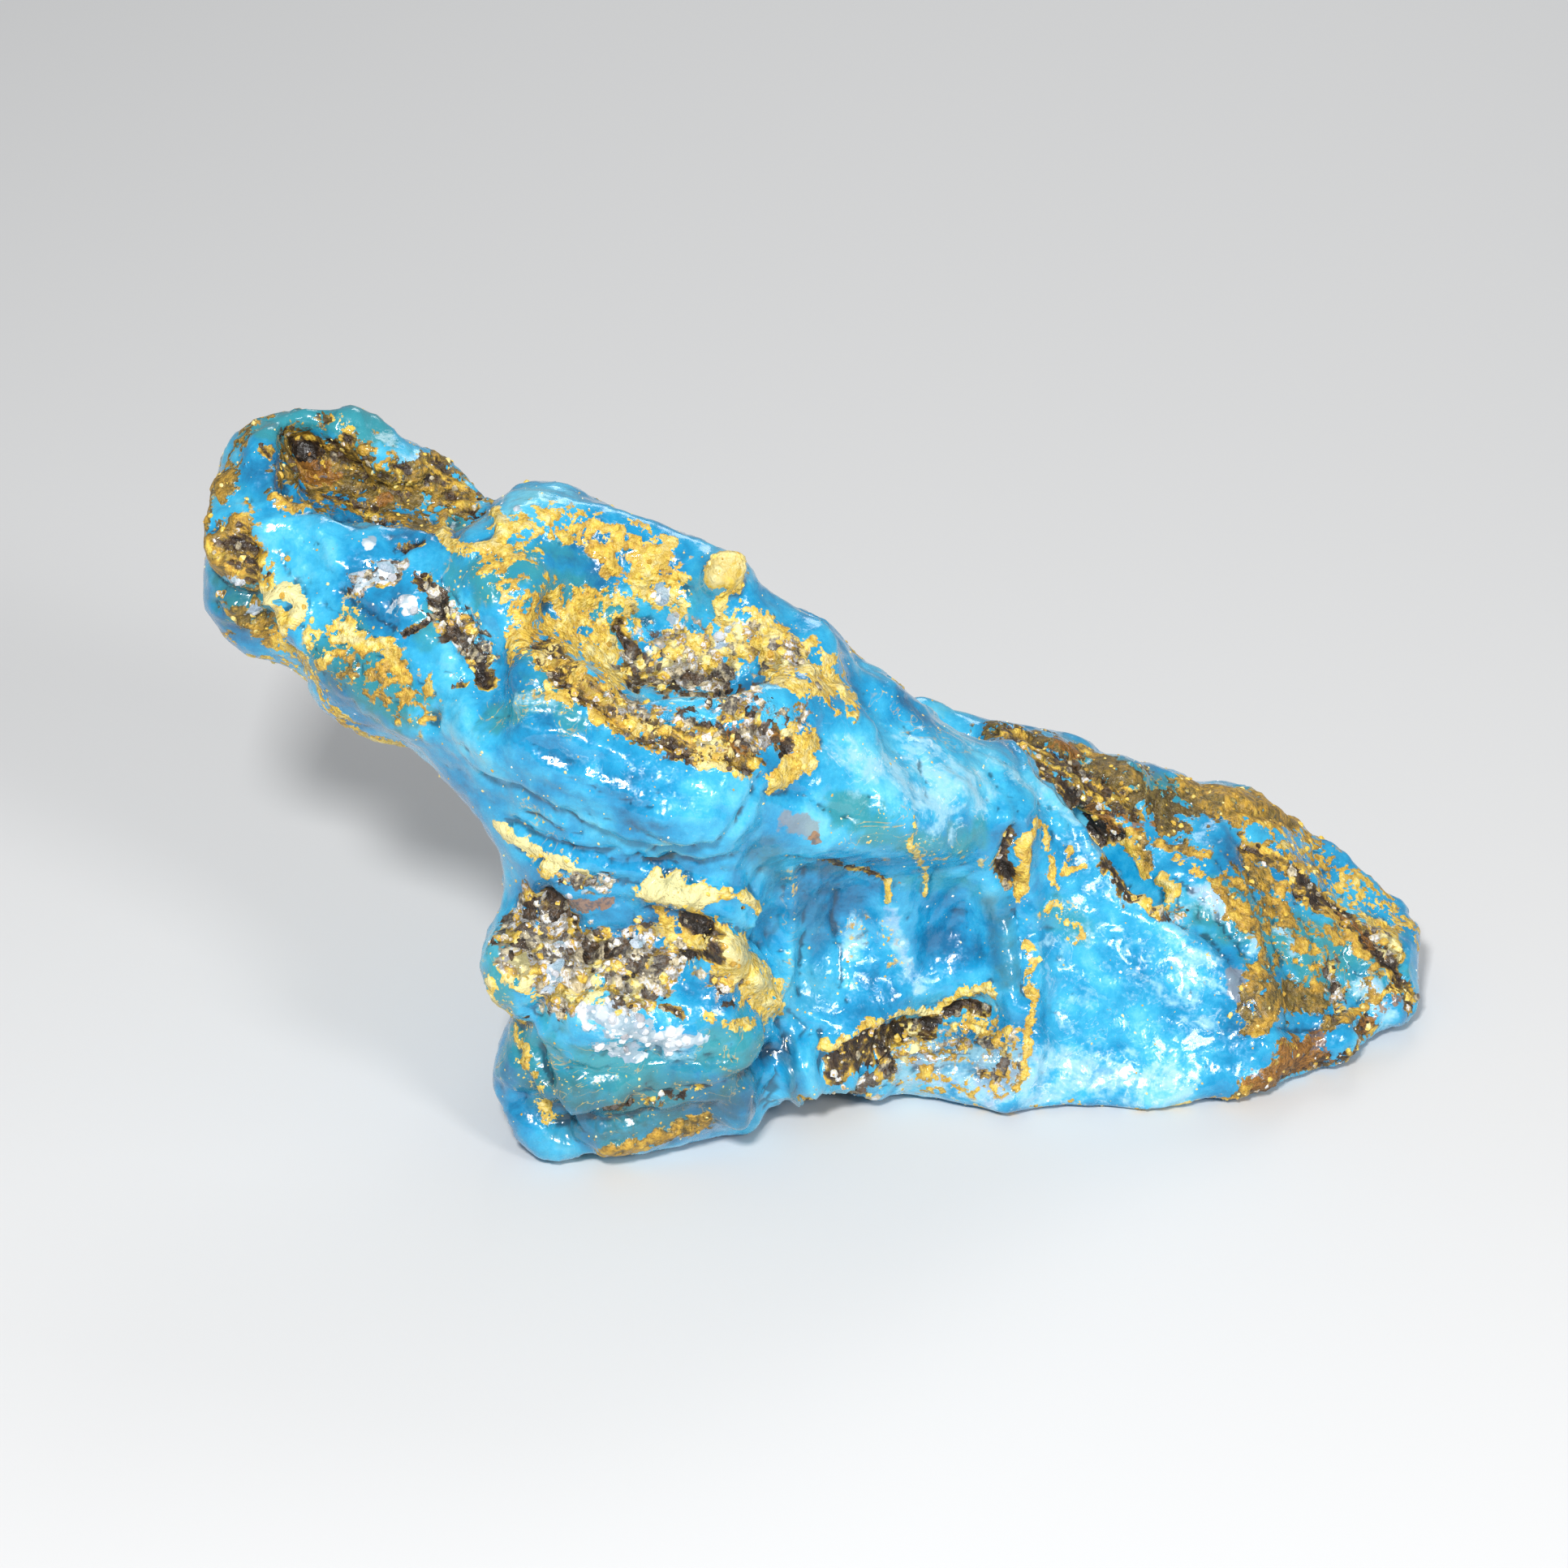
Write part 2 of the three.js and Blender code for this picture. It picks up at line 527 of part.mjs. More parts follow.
function flipAll() {
  for (let corner = 0; corner < corners.length; corner++)
    for (const other of neighbours(corner)) if (corner < other) flip(corner, other);
}

// Slides each corner towards the middle of its neighbours, and back onto the skin.
function relax(share) {
  for (let corner = 0; corner < corners.length; corner++) {
    if (!around[corner].size) continue;
    const set = [...neighbours(corner)];
    const mean = [0, 1, 2].map((axis) => set.reduce((sum, n) => sum + corners[n][axis], 0) / set.length);
    const to = ontoSkin(corners[corner].map((value, axis) => value + (mean[axis] - value) * share), 2);
    if (!turnsOver(corner, -1, to, 0.3)) corners[corner] = to;
  }
}

relax(0.5);
relax(0.5);
let alive = triangles.length;
for (let limit = 0.3; alive > TRIANGLES && limit < 3; limit += 0.06) {
  for (let corner = 0; corner < corners.length && alive > TRIANGLES; corner++) {
    if (!around[corner].size) continue;
    for (const other of neighbours(corner)) {
      if (apart(corners[corner], corners[other]) > limit) continue;
      if (!closeUp(corner, other)) continue;
      alive -= 2;
      break;
    }
  }
  flipAll();
}
for (let round = 0; round < RELAX_ROUNDS; round++) {
  relax(0.5);
  flipAll();
}

// ---- One body ----
// The skin of the lump is the piece with the most triangles. A crumb that hangs free of it is left out.
triangles = triangles.filter(Boolean);
const group = corners.map((_, n) => n);
const rootOf = (n) => {
  while (group[n] !== n) n = group[n] = group[group[n]];
  return n;
};
for (const [a, b, c] of triangles) {
  group[rootOf(a)] = rootOf(b);
  group[rootOf(b)] = rootOf(c);
}
const sizes = new Map();
for (const [a] of triangles) sizes.set(rootOf(a), (sizes.get(rootOf(a)) ?? 0) + 1);
const [largest] = [...sizes].sort((a, b) => b[1] - a[1])[0];
const skin = triangles.filter(([a]) => rootOf(a) === largest);

const newIndex = new Map();
const positions = [];
const indices = [];
for (const triangle of skin)
  for (const corner of triangle) {
    if (!newIndex.has(corner)) {
      newIndex.set(corner, newIndex.size);
      const [x, y, z] = corners[corner];
      positions.push(x - ORIGIN_SHIFT[0], y - ORIGIN_SHIFT[1], Math.max(0, z - REST_Z < REST_SNAP ? 0 : z - REST_Z));
    }
    indices.push(newIndex.get(corner));
  }

const geometry = new THREE.BufferGeometry();
geometry.setAttribute("position", new THREE.Float32BufferAttribute(positions, 3));
geometry.setIndex(indices);
geometry.computeVertexNormals();

const material = new THREE.MeshStandardMaterial({ color: 0x2f9fd0, roughness: 0.28, metalness: 0 });
material.name = "blue_amber";
const lumpMesh = new THREE.Mesh(geometry, material);
lumpMesh.name = NODE_NAME;

const part = new THREE.Group();
part.add(lumpMesh);
export default part;
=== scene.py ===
"""Rough blue amber: a weathered, opaque lump with a glossy blue skin, an ochre crust and sand.

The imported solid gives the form. This script lays a fine skin over it, with creases, lips, pits,
folds and crust, colours it, and scatters the sand grains and the crumbs that stick to it. Lengths
in the tables below are millimetres on the lump's own axes: X along it, -Y its broad front, +Z up.
"""

import math

import bmesh
import bpy
import numpy as np
from bpy.props import FloatProperty, FloatVectorProperty, IntProperty, PointerProperty
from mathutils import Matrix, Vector
from mathutils.kdtree import KDTree


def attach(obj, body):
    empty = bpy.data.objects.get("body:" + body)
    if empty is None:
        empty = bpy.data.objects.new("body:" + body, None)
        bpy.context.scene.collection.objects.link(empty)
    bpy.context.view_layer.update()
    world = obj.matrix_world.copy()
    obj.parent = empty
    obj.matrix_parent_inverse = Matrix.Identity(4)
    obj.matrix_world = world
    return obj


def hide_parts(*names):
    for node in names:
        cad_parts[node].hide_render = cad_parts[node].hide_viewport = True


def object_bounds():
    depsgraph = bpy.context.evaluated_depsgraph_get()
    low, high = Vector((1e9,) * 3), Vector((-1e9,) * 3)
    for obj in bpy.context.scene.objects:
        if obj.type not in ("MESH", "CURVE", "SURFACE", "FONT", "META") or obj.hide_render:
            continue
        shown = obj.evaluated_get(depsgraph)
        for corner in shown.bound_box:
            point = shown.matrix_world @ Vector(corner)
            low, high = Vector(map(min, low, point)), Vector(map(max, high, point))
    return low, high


bl_info = {
    "name": "Rough Blue Amber",
    "version": (1, 0, 0),
    "blender": (4, 5, 0),
    "location": "View3D > Sidebar > Amber",
    "description": "Builds a rough lump of blue amber with its crust, sand and crumbs",
    "category": "Add Mesh",
}

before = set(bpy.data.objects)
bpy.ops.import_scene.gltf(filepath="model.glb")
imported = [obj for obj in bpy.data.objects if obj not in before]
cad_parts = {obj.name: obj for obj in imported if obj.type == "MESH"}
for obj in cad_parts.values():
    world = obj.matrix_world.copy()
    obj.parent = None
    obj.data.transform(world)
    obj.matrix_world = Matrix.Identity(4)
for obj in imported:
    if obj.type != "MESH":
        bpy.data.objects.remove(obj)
SOLID_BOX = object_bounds()
NODE = "rough_amber"
BODY = "root"
MM = 0.001
OWN_AXES = np.array((2.91, 9.41, 0.0))  # from the lump's own axes to the middle of its base
AMBER_IOR = 1.54
# Tints that are only ever mixed in
LILAC, CHALK, ROSE = (0.50, 0.56, 0.78), (0.78, 0.90, 0.95), (0.29, 0.23, 0.20)
# The next two are painted: a dark teal for painted shade, and a dark blue for painted shadow in
# creases and hollows.
PAINTED_SHADE_TEAL, SHADOW = (0.035, 0.060, 0.055), (0.002, 0.022, 0.050)
SAND_SHADE, SAND_GAP = (0.34, 0.44, 0.54), (0.22, 0.38, 0.46)
GRAIN = (0.90, -0.22, -0.38)  # the way that the streaks in the soil run
FRAYED = ("crust", "earth", "grit", "sand")  # the coverings that fade in between MASK_EDGE
MASK_EDGE = (0.02, 0.2)
# Where the relief of each covering rises out of the skin, and where the crust is thick
CRUST_EDGE, THICK_CRUST = (0.35, 0.47), (0.45, 1.0)
SOIL_EDGE, GRIT_EDGE, SAND_EDGE = (0.34, 0.52), (0.32, 0.52), (0.38, 0.58)
CRUST_COARSE, CRUST_PUCKER = 2.2, 2.0  # how much the two noises fray the edge of the crust
PATH_EDGE = (0.35, 1.65)  # a path fades out between these many times its reach
TAIL = 2.2  # a path is too weak to matter past this many times its reach
LINE_TAIL, PIT_TAIL = 3.0, 2.5  # the same for creases and lips, and for pits
PATH_STEP = 0.7  # between the points of a path that is laid on the skin
SMOOTH_ROUNDS = 10  # that even out the faces of the solid
REST_FADE = 0.9  # the relief fades out below this height, so the lump rests flat
BOX_GAP = 0.02  # that the skin keeps from the sides of the solid's box
DEEP_HOLLOW, DEEP_NOOK = 0.5, 0.08  # depths that count as a full hollow and a full nook
FULL_TURN = 6.28
NOTHING = 1e-9

# The view: its middle on the lump's own axes, how far off the camera stands, and how high
VIEW_MIDDLE = np.array((0.0, 2.01, 25.0))
VIEW_DISTANCE = 350.0
VIEW_ELEVATION = math.radians(30.0)
LENS, SENSOR = 123.9, 36.0
# The lights in metres: name -> (place, side). The power of each is a setting of the same name.
LIGHTS = {
    "key": ((-0.05, -0.27, 0.29), 0.05),
    "fill": ((0.20, -0.27, 0.22), 0.08),
    "rim": ((0.05, 0.28, 0.24), 0.14),
}
LIGHTS_MEET = (0.0, 0.0, 0.018)
FLOOR_REACH = 1.5
ROOM_COLOUR = (0.96, 0.98, 1.0, 1.0)

# ---- Where things are on the lump ----
# Each path is a list of points that is laid down onto the skin.

# Narrow creases: name -> (path, width, depth)
CREASES = {
    "under the ledge": ([(-18.4, 0.6, 27.4), (-16, -2.6, 26.6), (-12, -3.9, 25),
        (-8, -4.2, 23.8), (-4, -5, 24.6)], 0.6, 0.7),
    "ledge end": ([(-1.6, -2.6, 28.1), (-2.4, -4, 26.6), (-4, -5.2, 25.1)], 0.4, 0.4),
    "neck fold high": ([(-17.4, 0.2, 23.6), (-13, -3.4, 23), (-8, -4.4, 22.2),
        (-3, -3.8, 22.6)], 0.4, 0.45),
    "neck fold low": ([(-16.8, -0.6, 22), (-12.6, -3.2, 21.2), (-8.4, -3.8, 20.8)], 0.35, 0.35),
    "foot fissure left": ([(-15.2, -2.6, 19.4), (-14, -3.2, 17.6), (-12.6, -3.6, 15.4)], 0.7, 0.8),
    "foot fold three": ([(-16.6, -4.6, 3.6), (-11, -6.8, 3.2), (-6, -5.4, 3.4)], 0.35, 0.2),
    "foot seam": ([(-16.6, -5, 7.2), (-15.6, -4.8, 3.6), (-13, -6.2, 1.6)], 0.5, 0.5),
    "slit": ([(15, 6.2, 18.7), (14.7, 5.8, 16.3), (15.3, 5.6, 14), (15.9, 4.6, 11.4),
        (16.2, 2.8, 8.4)], 0.7, 0.8),
    "slope line": ([(7.2, 9, 27), (9, 7.4, 24.8), (10.6, 6.6, 22.6), (13.6, 6.8, 20.6)], 0.4, 0.18),
    "facet edge": ([(25, 7.8, 12.4), (28.6, 8, 10), (30.4, 6.2, 7.6), (31.4, 4.2, 4.4)], 0.4, 0.3),
    "arm double line": ([(-28.8, 7.9, 36.1), (-27.1, 6.4, 35.4), (-25.3, 5.4, 34.8)], 0.35, 0.4),
    "arm double line low": ([(-29.8, 7.6, 35.2), (-27.8, 6.1, 34.5), (-26, 4.9, 33.9)], 0.3, 0.25),
    "arm lobe end": ([(-25.7, 10.7, 38.9), (-25, 8.7, 37.9), (-26, 8.1, 37.3)], 0.35, 0.35),
    "left curl edge": ([(-34.2, 10.3, 36.5), (-34.2, 10.4, 34), (-33.2, 9.6, 32)], 0.35, 0.4),
    "left end one": ([(-37.8, 13.4, 34.8), (-35.4, 11, 34), (-33.7, 10.1, 33.8)], 0.35, 0.45),
    "left end two": ([(-37.6, 12, 32.9), (-35.4, 10.1, 31.7), (-33.5, 9.6, 31.4)], 0.35, 0.4),
    "left end three": ([(-37.1, 12.1, 38.5), (-35.1, 10.8, 38.6), (-34.1, 10.7, 37.4)], 0.4, 0.45),
    "head lip": ([(-33.6, 12.2, 39.7), (-31, 12.2, 39.5), (-28.6, 15.2, 37.5),
        (-25.6, 10.7, 38.9), (-23.7, 10.1, 38.8)], 0.35, 0.35),
    "head edge": ([(-33, 16.8, 39.1), (-30.4, 17.6, 38.8), (-28.3, 18, 38.1)], 0.35, 0.35),
    "gully left": ([(-23.3, 7, 36.9), (-21.8, 5.2, 35.6), (-20.4, 3.9, 33.9),
        (-19.1, 2.3, 32.1)], 0.32, 0.45),
    "gully right": ([(-22.1, 7.2, 37.2), (-20.4, 5, 35.7), (-19.1, 3.9, 33.9)], 0.3, 0.35),
    "dish lower edge": ([(-15.6, 0.7, 35.1), (-12.7, -1.6, 33.7), (-10.4, -2.6, 32.1)], 0.4, 0.5),
    "dish stick": ([(-10.8, 8.3, 33.5), (-9.9, 7, 31.2)], 0.3, 0.4),
    "strata one": ([(-11.9, -1.2, 33.8), (-8.6, -1.9, 32.1), (-4.4, -2.6, 30.7)], 0.25, 0.3),
    "strata two": ([(-10.4, -2.6, 32.1), (-7.4, -3.3, 31), (-4.4, -3.4, 30),
        (-1.7, -2.3, 28.8)], 0.25, 0.35),
    "slope one": ([(8.8, 6.6, 25), (8.9, 5.3, 23.6), (9.4, 3.5, 23)], 0.35, 0.16),
    "slope two": ([(13.8, 8.6, 22), (14.2, 6.5, 20.5), (14, 5.7, 18.9)], 0.3, 0.2),
    "slope three": ([(12.2, 10, 23.4), (14.5, 8, 21.5), (15.6, 6.8, 20)], 0.3, 0.16),
    "slope four": ([(16, 9.4, 21.1), (17.5, 9.8, 18.4), (18.1, 8.9, 17)], 0.3, 0.16),
    "crest line": ([(9.9, 10.7, 24.7), (13.7, 10.2, 22.5), (17.5, 10.3, 19.2),
        (20.1, 9.2, 16.2)], 0.25, 0.15),
    "ledge foot": ([(-16.5, -1.1, 24.7), (-12.8, -3.2, 24.2), (-9.2, -3.5, 23.3),
        (-5.5, -3.3, 22.7)], 0.3, 0.35),
    "foot grit one": ([(-15.7, -3.2, 16.8), (-13, -3.2, 15.7), (-9.2, -3.8, 16.3)], 0.35, 0.35),
    "foot grit two": ([(-14, -5.2, 14.7), (-10.8, -5.4, 14.4), (-7.9, -5.7, 13.4)], 0.35, 0.4),
    "foot blob edge": ([(-8.7, -3.3, 18.9), (-6.1, -3.3, 18.3), (-4, -3.8, 17.8)], 0.35, 0.5),
    "foot mass edge": ([(-4.2, -3.9, 18.5), (-1.9, 1, 13.3), (-0.4, -0.9, 11.4)], 0.3, 0.4),
    "alcove left": ([(1.4, 1.8, 18.7), (1.5, 2.7, 13.2), (1, 1.1, 9.6)], 0.35, 0.3),
    "alcove middle": ([(3.4, 3.9, 15.6), (3.6, 3.8, 11.2), (4, 1.6, 8.8)], 0.35, 0.25),
    "seam one": ([(-0.4, -0.6, 8.4), (0.5, -0.7, 5.2), (-1.5, 0, 1.5)], 0.35, 0.45),
    "seam two": ([(2.4, 0.1, 7.2), (1.8, 0, 4.1)], 0.3, 0.4),
    "mound one": ([(7.8, 2.2, 4), (10.5, 2.5, 4.4), (13.8, 1.7, 4.3)], 0.3, 0.35),
    "mound two": ([(8.4, 1.6, 3.1), (11, 1.4, 3.7), (14.3, 0.7, 3)], 0.3, 0.35),
    "mound three": ([(9.5, 4.1, 4.7), (12.2, 4.4, 5.6)], 0.25, 0.3),
    "end cell edge": ([(26.6, 11.1, 12.3), (29.2, 9.7, 10.5), (30.8, 7.4, 8.4)], 0.28, 0.35),
    "end cell edge two": ([(29.3, 12.6, 12.9), (31.5, 11.2, 10.6), (33.8, 9.3, 6.6)], 0.28, 0.35),
    "end cell edge three": ([(33, 16.5, 11.9), (35.1, 14.2, 9.4), (36.3, 10.3, 6)], 0.3, 0.4),
    "end patch edge": ([(31, 4.5, 4.9), (33.4, 4.3, 4.9), (37, 6.7, 3.6)], 0.3, 0.35),
    "hump one": ([(16.1, 17, 20.5), (20.1, 17, 17.7), (23.9, 15.4, 15.7)], 0.4, 0.4),
    "hump two": ([(26.3, 18.9, 15.6), (29.6, 17, 13.8), (34.5, 20.6, 10.4)], 0.4, 0.4),
    "foot lobe seam": ([(-17.3, -2.8, 9.6), (-16.5, -4.5, 10.3), (-15.8, -5, 8),
        (-15, -6.7, 6.4), (-14.2, -4.6, 2.9)], 0.55, 0.7),
    "foot lobe top": ([(-17.5, -3.9, 16.7), (-16, -4.8, 16), (-15.4, -5.4, 14.2),
        (-16.4, -4.8, 10.8)], 0.5, 0.45),
    "foot belly low": ([(-10, -6.6, 6.3), (-6.5, -6.5, 7.1), (-2.3, -5.3, 7.4),
        (-0.9, -0.8, 6.5)], 0.6, 0.7),
    "foot toe top": ([(-14.6, -6.7, 5.2), (-12, -5.8, 4.2), (-8.8, -5.9, 5)], 0.4, 0.4),
    "ledge wrinkle": ([(-13.8, -4.1, 26.5), (-10.6, -5.2, 26.2), (-7.5, -5.3, 24.8),
        (-4.5, -5.1, 24.1)], 0.35, 0.2),
    "neck wrinkle": ([(-13.9, -2.9, 23.3), (-10.7, -3.6, 23.2), (-7.1, -2.9, 22)], 0.3, 0.35),
    "brow wrinkle": ([(-1.9, -3.2, 27.5), (1.3, -0.9, 25.8), (4.4, -0.1, 23.6)], 0.35, 0.3),
}

# Raised lips and ribs: name -> (path, width, height)
LIPS = {
    "facet rib": ([(16.8, 4.8, 10.8), (17, 3, 7.6), (17.2, 2, 5), (16.6, 0.9, 3)], 0.45, 0.3),
    "dish rim": ([(-20.4, 9.8, 39), (-19.4, 6.4, 38.2), (-18.3, 4, 36),
        (-17.2, 2.6, 34.4)], 0.7, 0.35),
    "arm ridge": ([(-29.9, 10.5, 39), (-29.1, 9.2, 37.6), (-27.6, 7.8, 36.5),
        (-26.1, 6.5, 35.8)], 0.5, 0.35),
    "head rim": ([(-35.4, 15.6, 42), (-33.9, 17.6, 43.1), (-31.4, 19.6, 43.2),
        (-28.2, 19.5, 43)], 0.6, 0.3),
    "bowl edge": ([(-32.9, 14.5, 41.7), (-33.5, 12.8, 40.4), (-31.6, 12.5, 39.6),
        (-29.1, 15, 37.6), (-25.6, 10.7, 38.9)], 0.35, 0.35),
    "left curl ring": ([(-33.3, 9.1, 34.8), (-32.4, 8.8, 35.6), (-31.4, 8.3, 35.2),
        (-31.3, 7.8, 34.6), (-31.9, 7.4, 34)], 0.32, 0.5),
    "left curl stem": ([(-34, 10.5, 36.9), (-34, 9.8, 35.4), (-33.1, 8.9, 34.7),
        (-32.7, 7.5, 33.4)], 0.35, 0.4),
    "crown curl": ([(-22.6, 17.1, 37), (-21.9, 9.8, 38.6), (-20.5, 8, 38.7), (-18.8, 7.7, 39.2),
        (-18, 8.8, 40), (-18.7, 11.3, 40.2)], 0.32, 0.35),
    "gully rope": ([(-22.8, 7.3, 37.1), (-21.4, 5.6, 36), (-19.7, 4.1, 34.1),
        (-18.8, 2.6, 32.2)], 0.4, 0.4),
    "ledge highlight": ([(-16.2, -3.3, 30.4), (-14.3, -3.9, 29.6), (-12.8, -4.4, 29.4),
        (-11, -5, 28.7), (-8.1, -5.5, 28), (-7.7, -5.9, 26.7)], 0.3, 0.4),
    "ledge left": ([(-18.4, 0.2, 31.2), (-16.7, -1.8, 33.1), (-14.6, -1.7, 33.3),
        (-13.4, -2.3, 32.9)], 0.3, 0.28),
    "foot ring": ([(-4, -3.6, 20.1), (-2.2, -2.3, 18.9), (-1.2, -2.1, 17.6),
        (-1.9, -2.7, 17.1)], 0.3, 0.4),
    "crevice ring": ([(24.3, 8.2, 13.3), (25.4, 11.4, 12.3), (26.3, 10.7, 11.8),
        (25.3, 7.9, 12.4), (24.3, 8.2, 13.3)], 0.26, 0.35),
    "crest": ([(8.8, 11.4, 25.7), (12.9, 18.5, 19.2), (16.4, 10.7, 20.7), (19.2, 10.4, 18),
        (20.8, 9, 15.7), (22.9, 8, 13.4)], 0.4, 0.3),
    "facet hook": ([(16.7, 8.1, 18.6), (15.9, 6.4, 17.7), (15.9, 6.1, 15.6)], 0.35, 0.25),
    "drip one": ([(8.4, 1.5, 22.7), (8.2, 1.3, 20.9), (9.4, 5, 16.7), (9.4, 5.4, 14.5)], 0.2, 0.14),
    "drip two": ([(7, 3.8, 16.5), (7, 3.8, 15)], 0.2, 0.2),
    "ridge left": ([(0.4, 0.9, 19.5), (0.5, 2.1, 15.4), (0.3, 2.1, 11.7),
        (0.1, -0.6, 10.7)], 0.35, 0.35),
    "lip": ([(2.9, -0.3, 6.3), (5.2, 0.6, 7.2), (7.5, 2.1, 7.2), (10, 5.2, 5.7),
        (12.3, 4.2, 7.9), (14.2, 3.7, 8.2)], 0.3, 0.4),
    "foot fold": ([(-17.2, -4.8, 12.3), (-14, -6.6, 9.7), (-9.3, -5.8, 8.5),
        (-4.5, -6.2, 10.3)], 0.4, 0.25),
    "foot fold low": ([(-16.8, -4.6, 7.7), (-13, -6.9, 5.4), (-8.8, -6.6, 6.5),
        (-5.1, -6.1, 7.8)], 0.4, 0.25),
    "lobe ridge": ([(-16.8, -2.7, 31.7), (-13.7, -3.2, 31.7), (-10.6, -4.1, 30.7)], 0.6, 0.35),
    "lobe ridge low": ([(-15.8, -3.5, 29.2), (-11.6, -5, 27.9), (-7.5, -5.9, 26.9)], 0.5, 0.3),
}

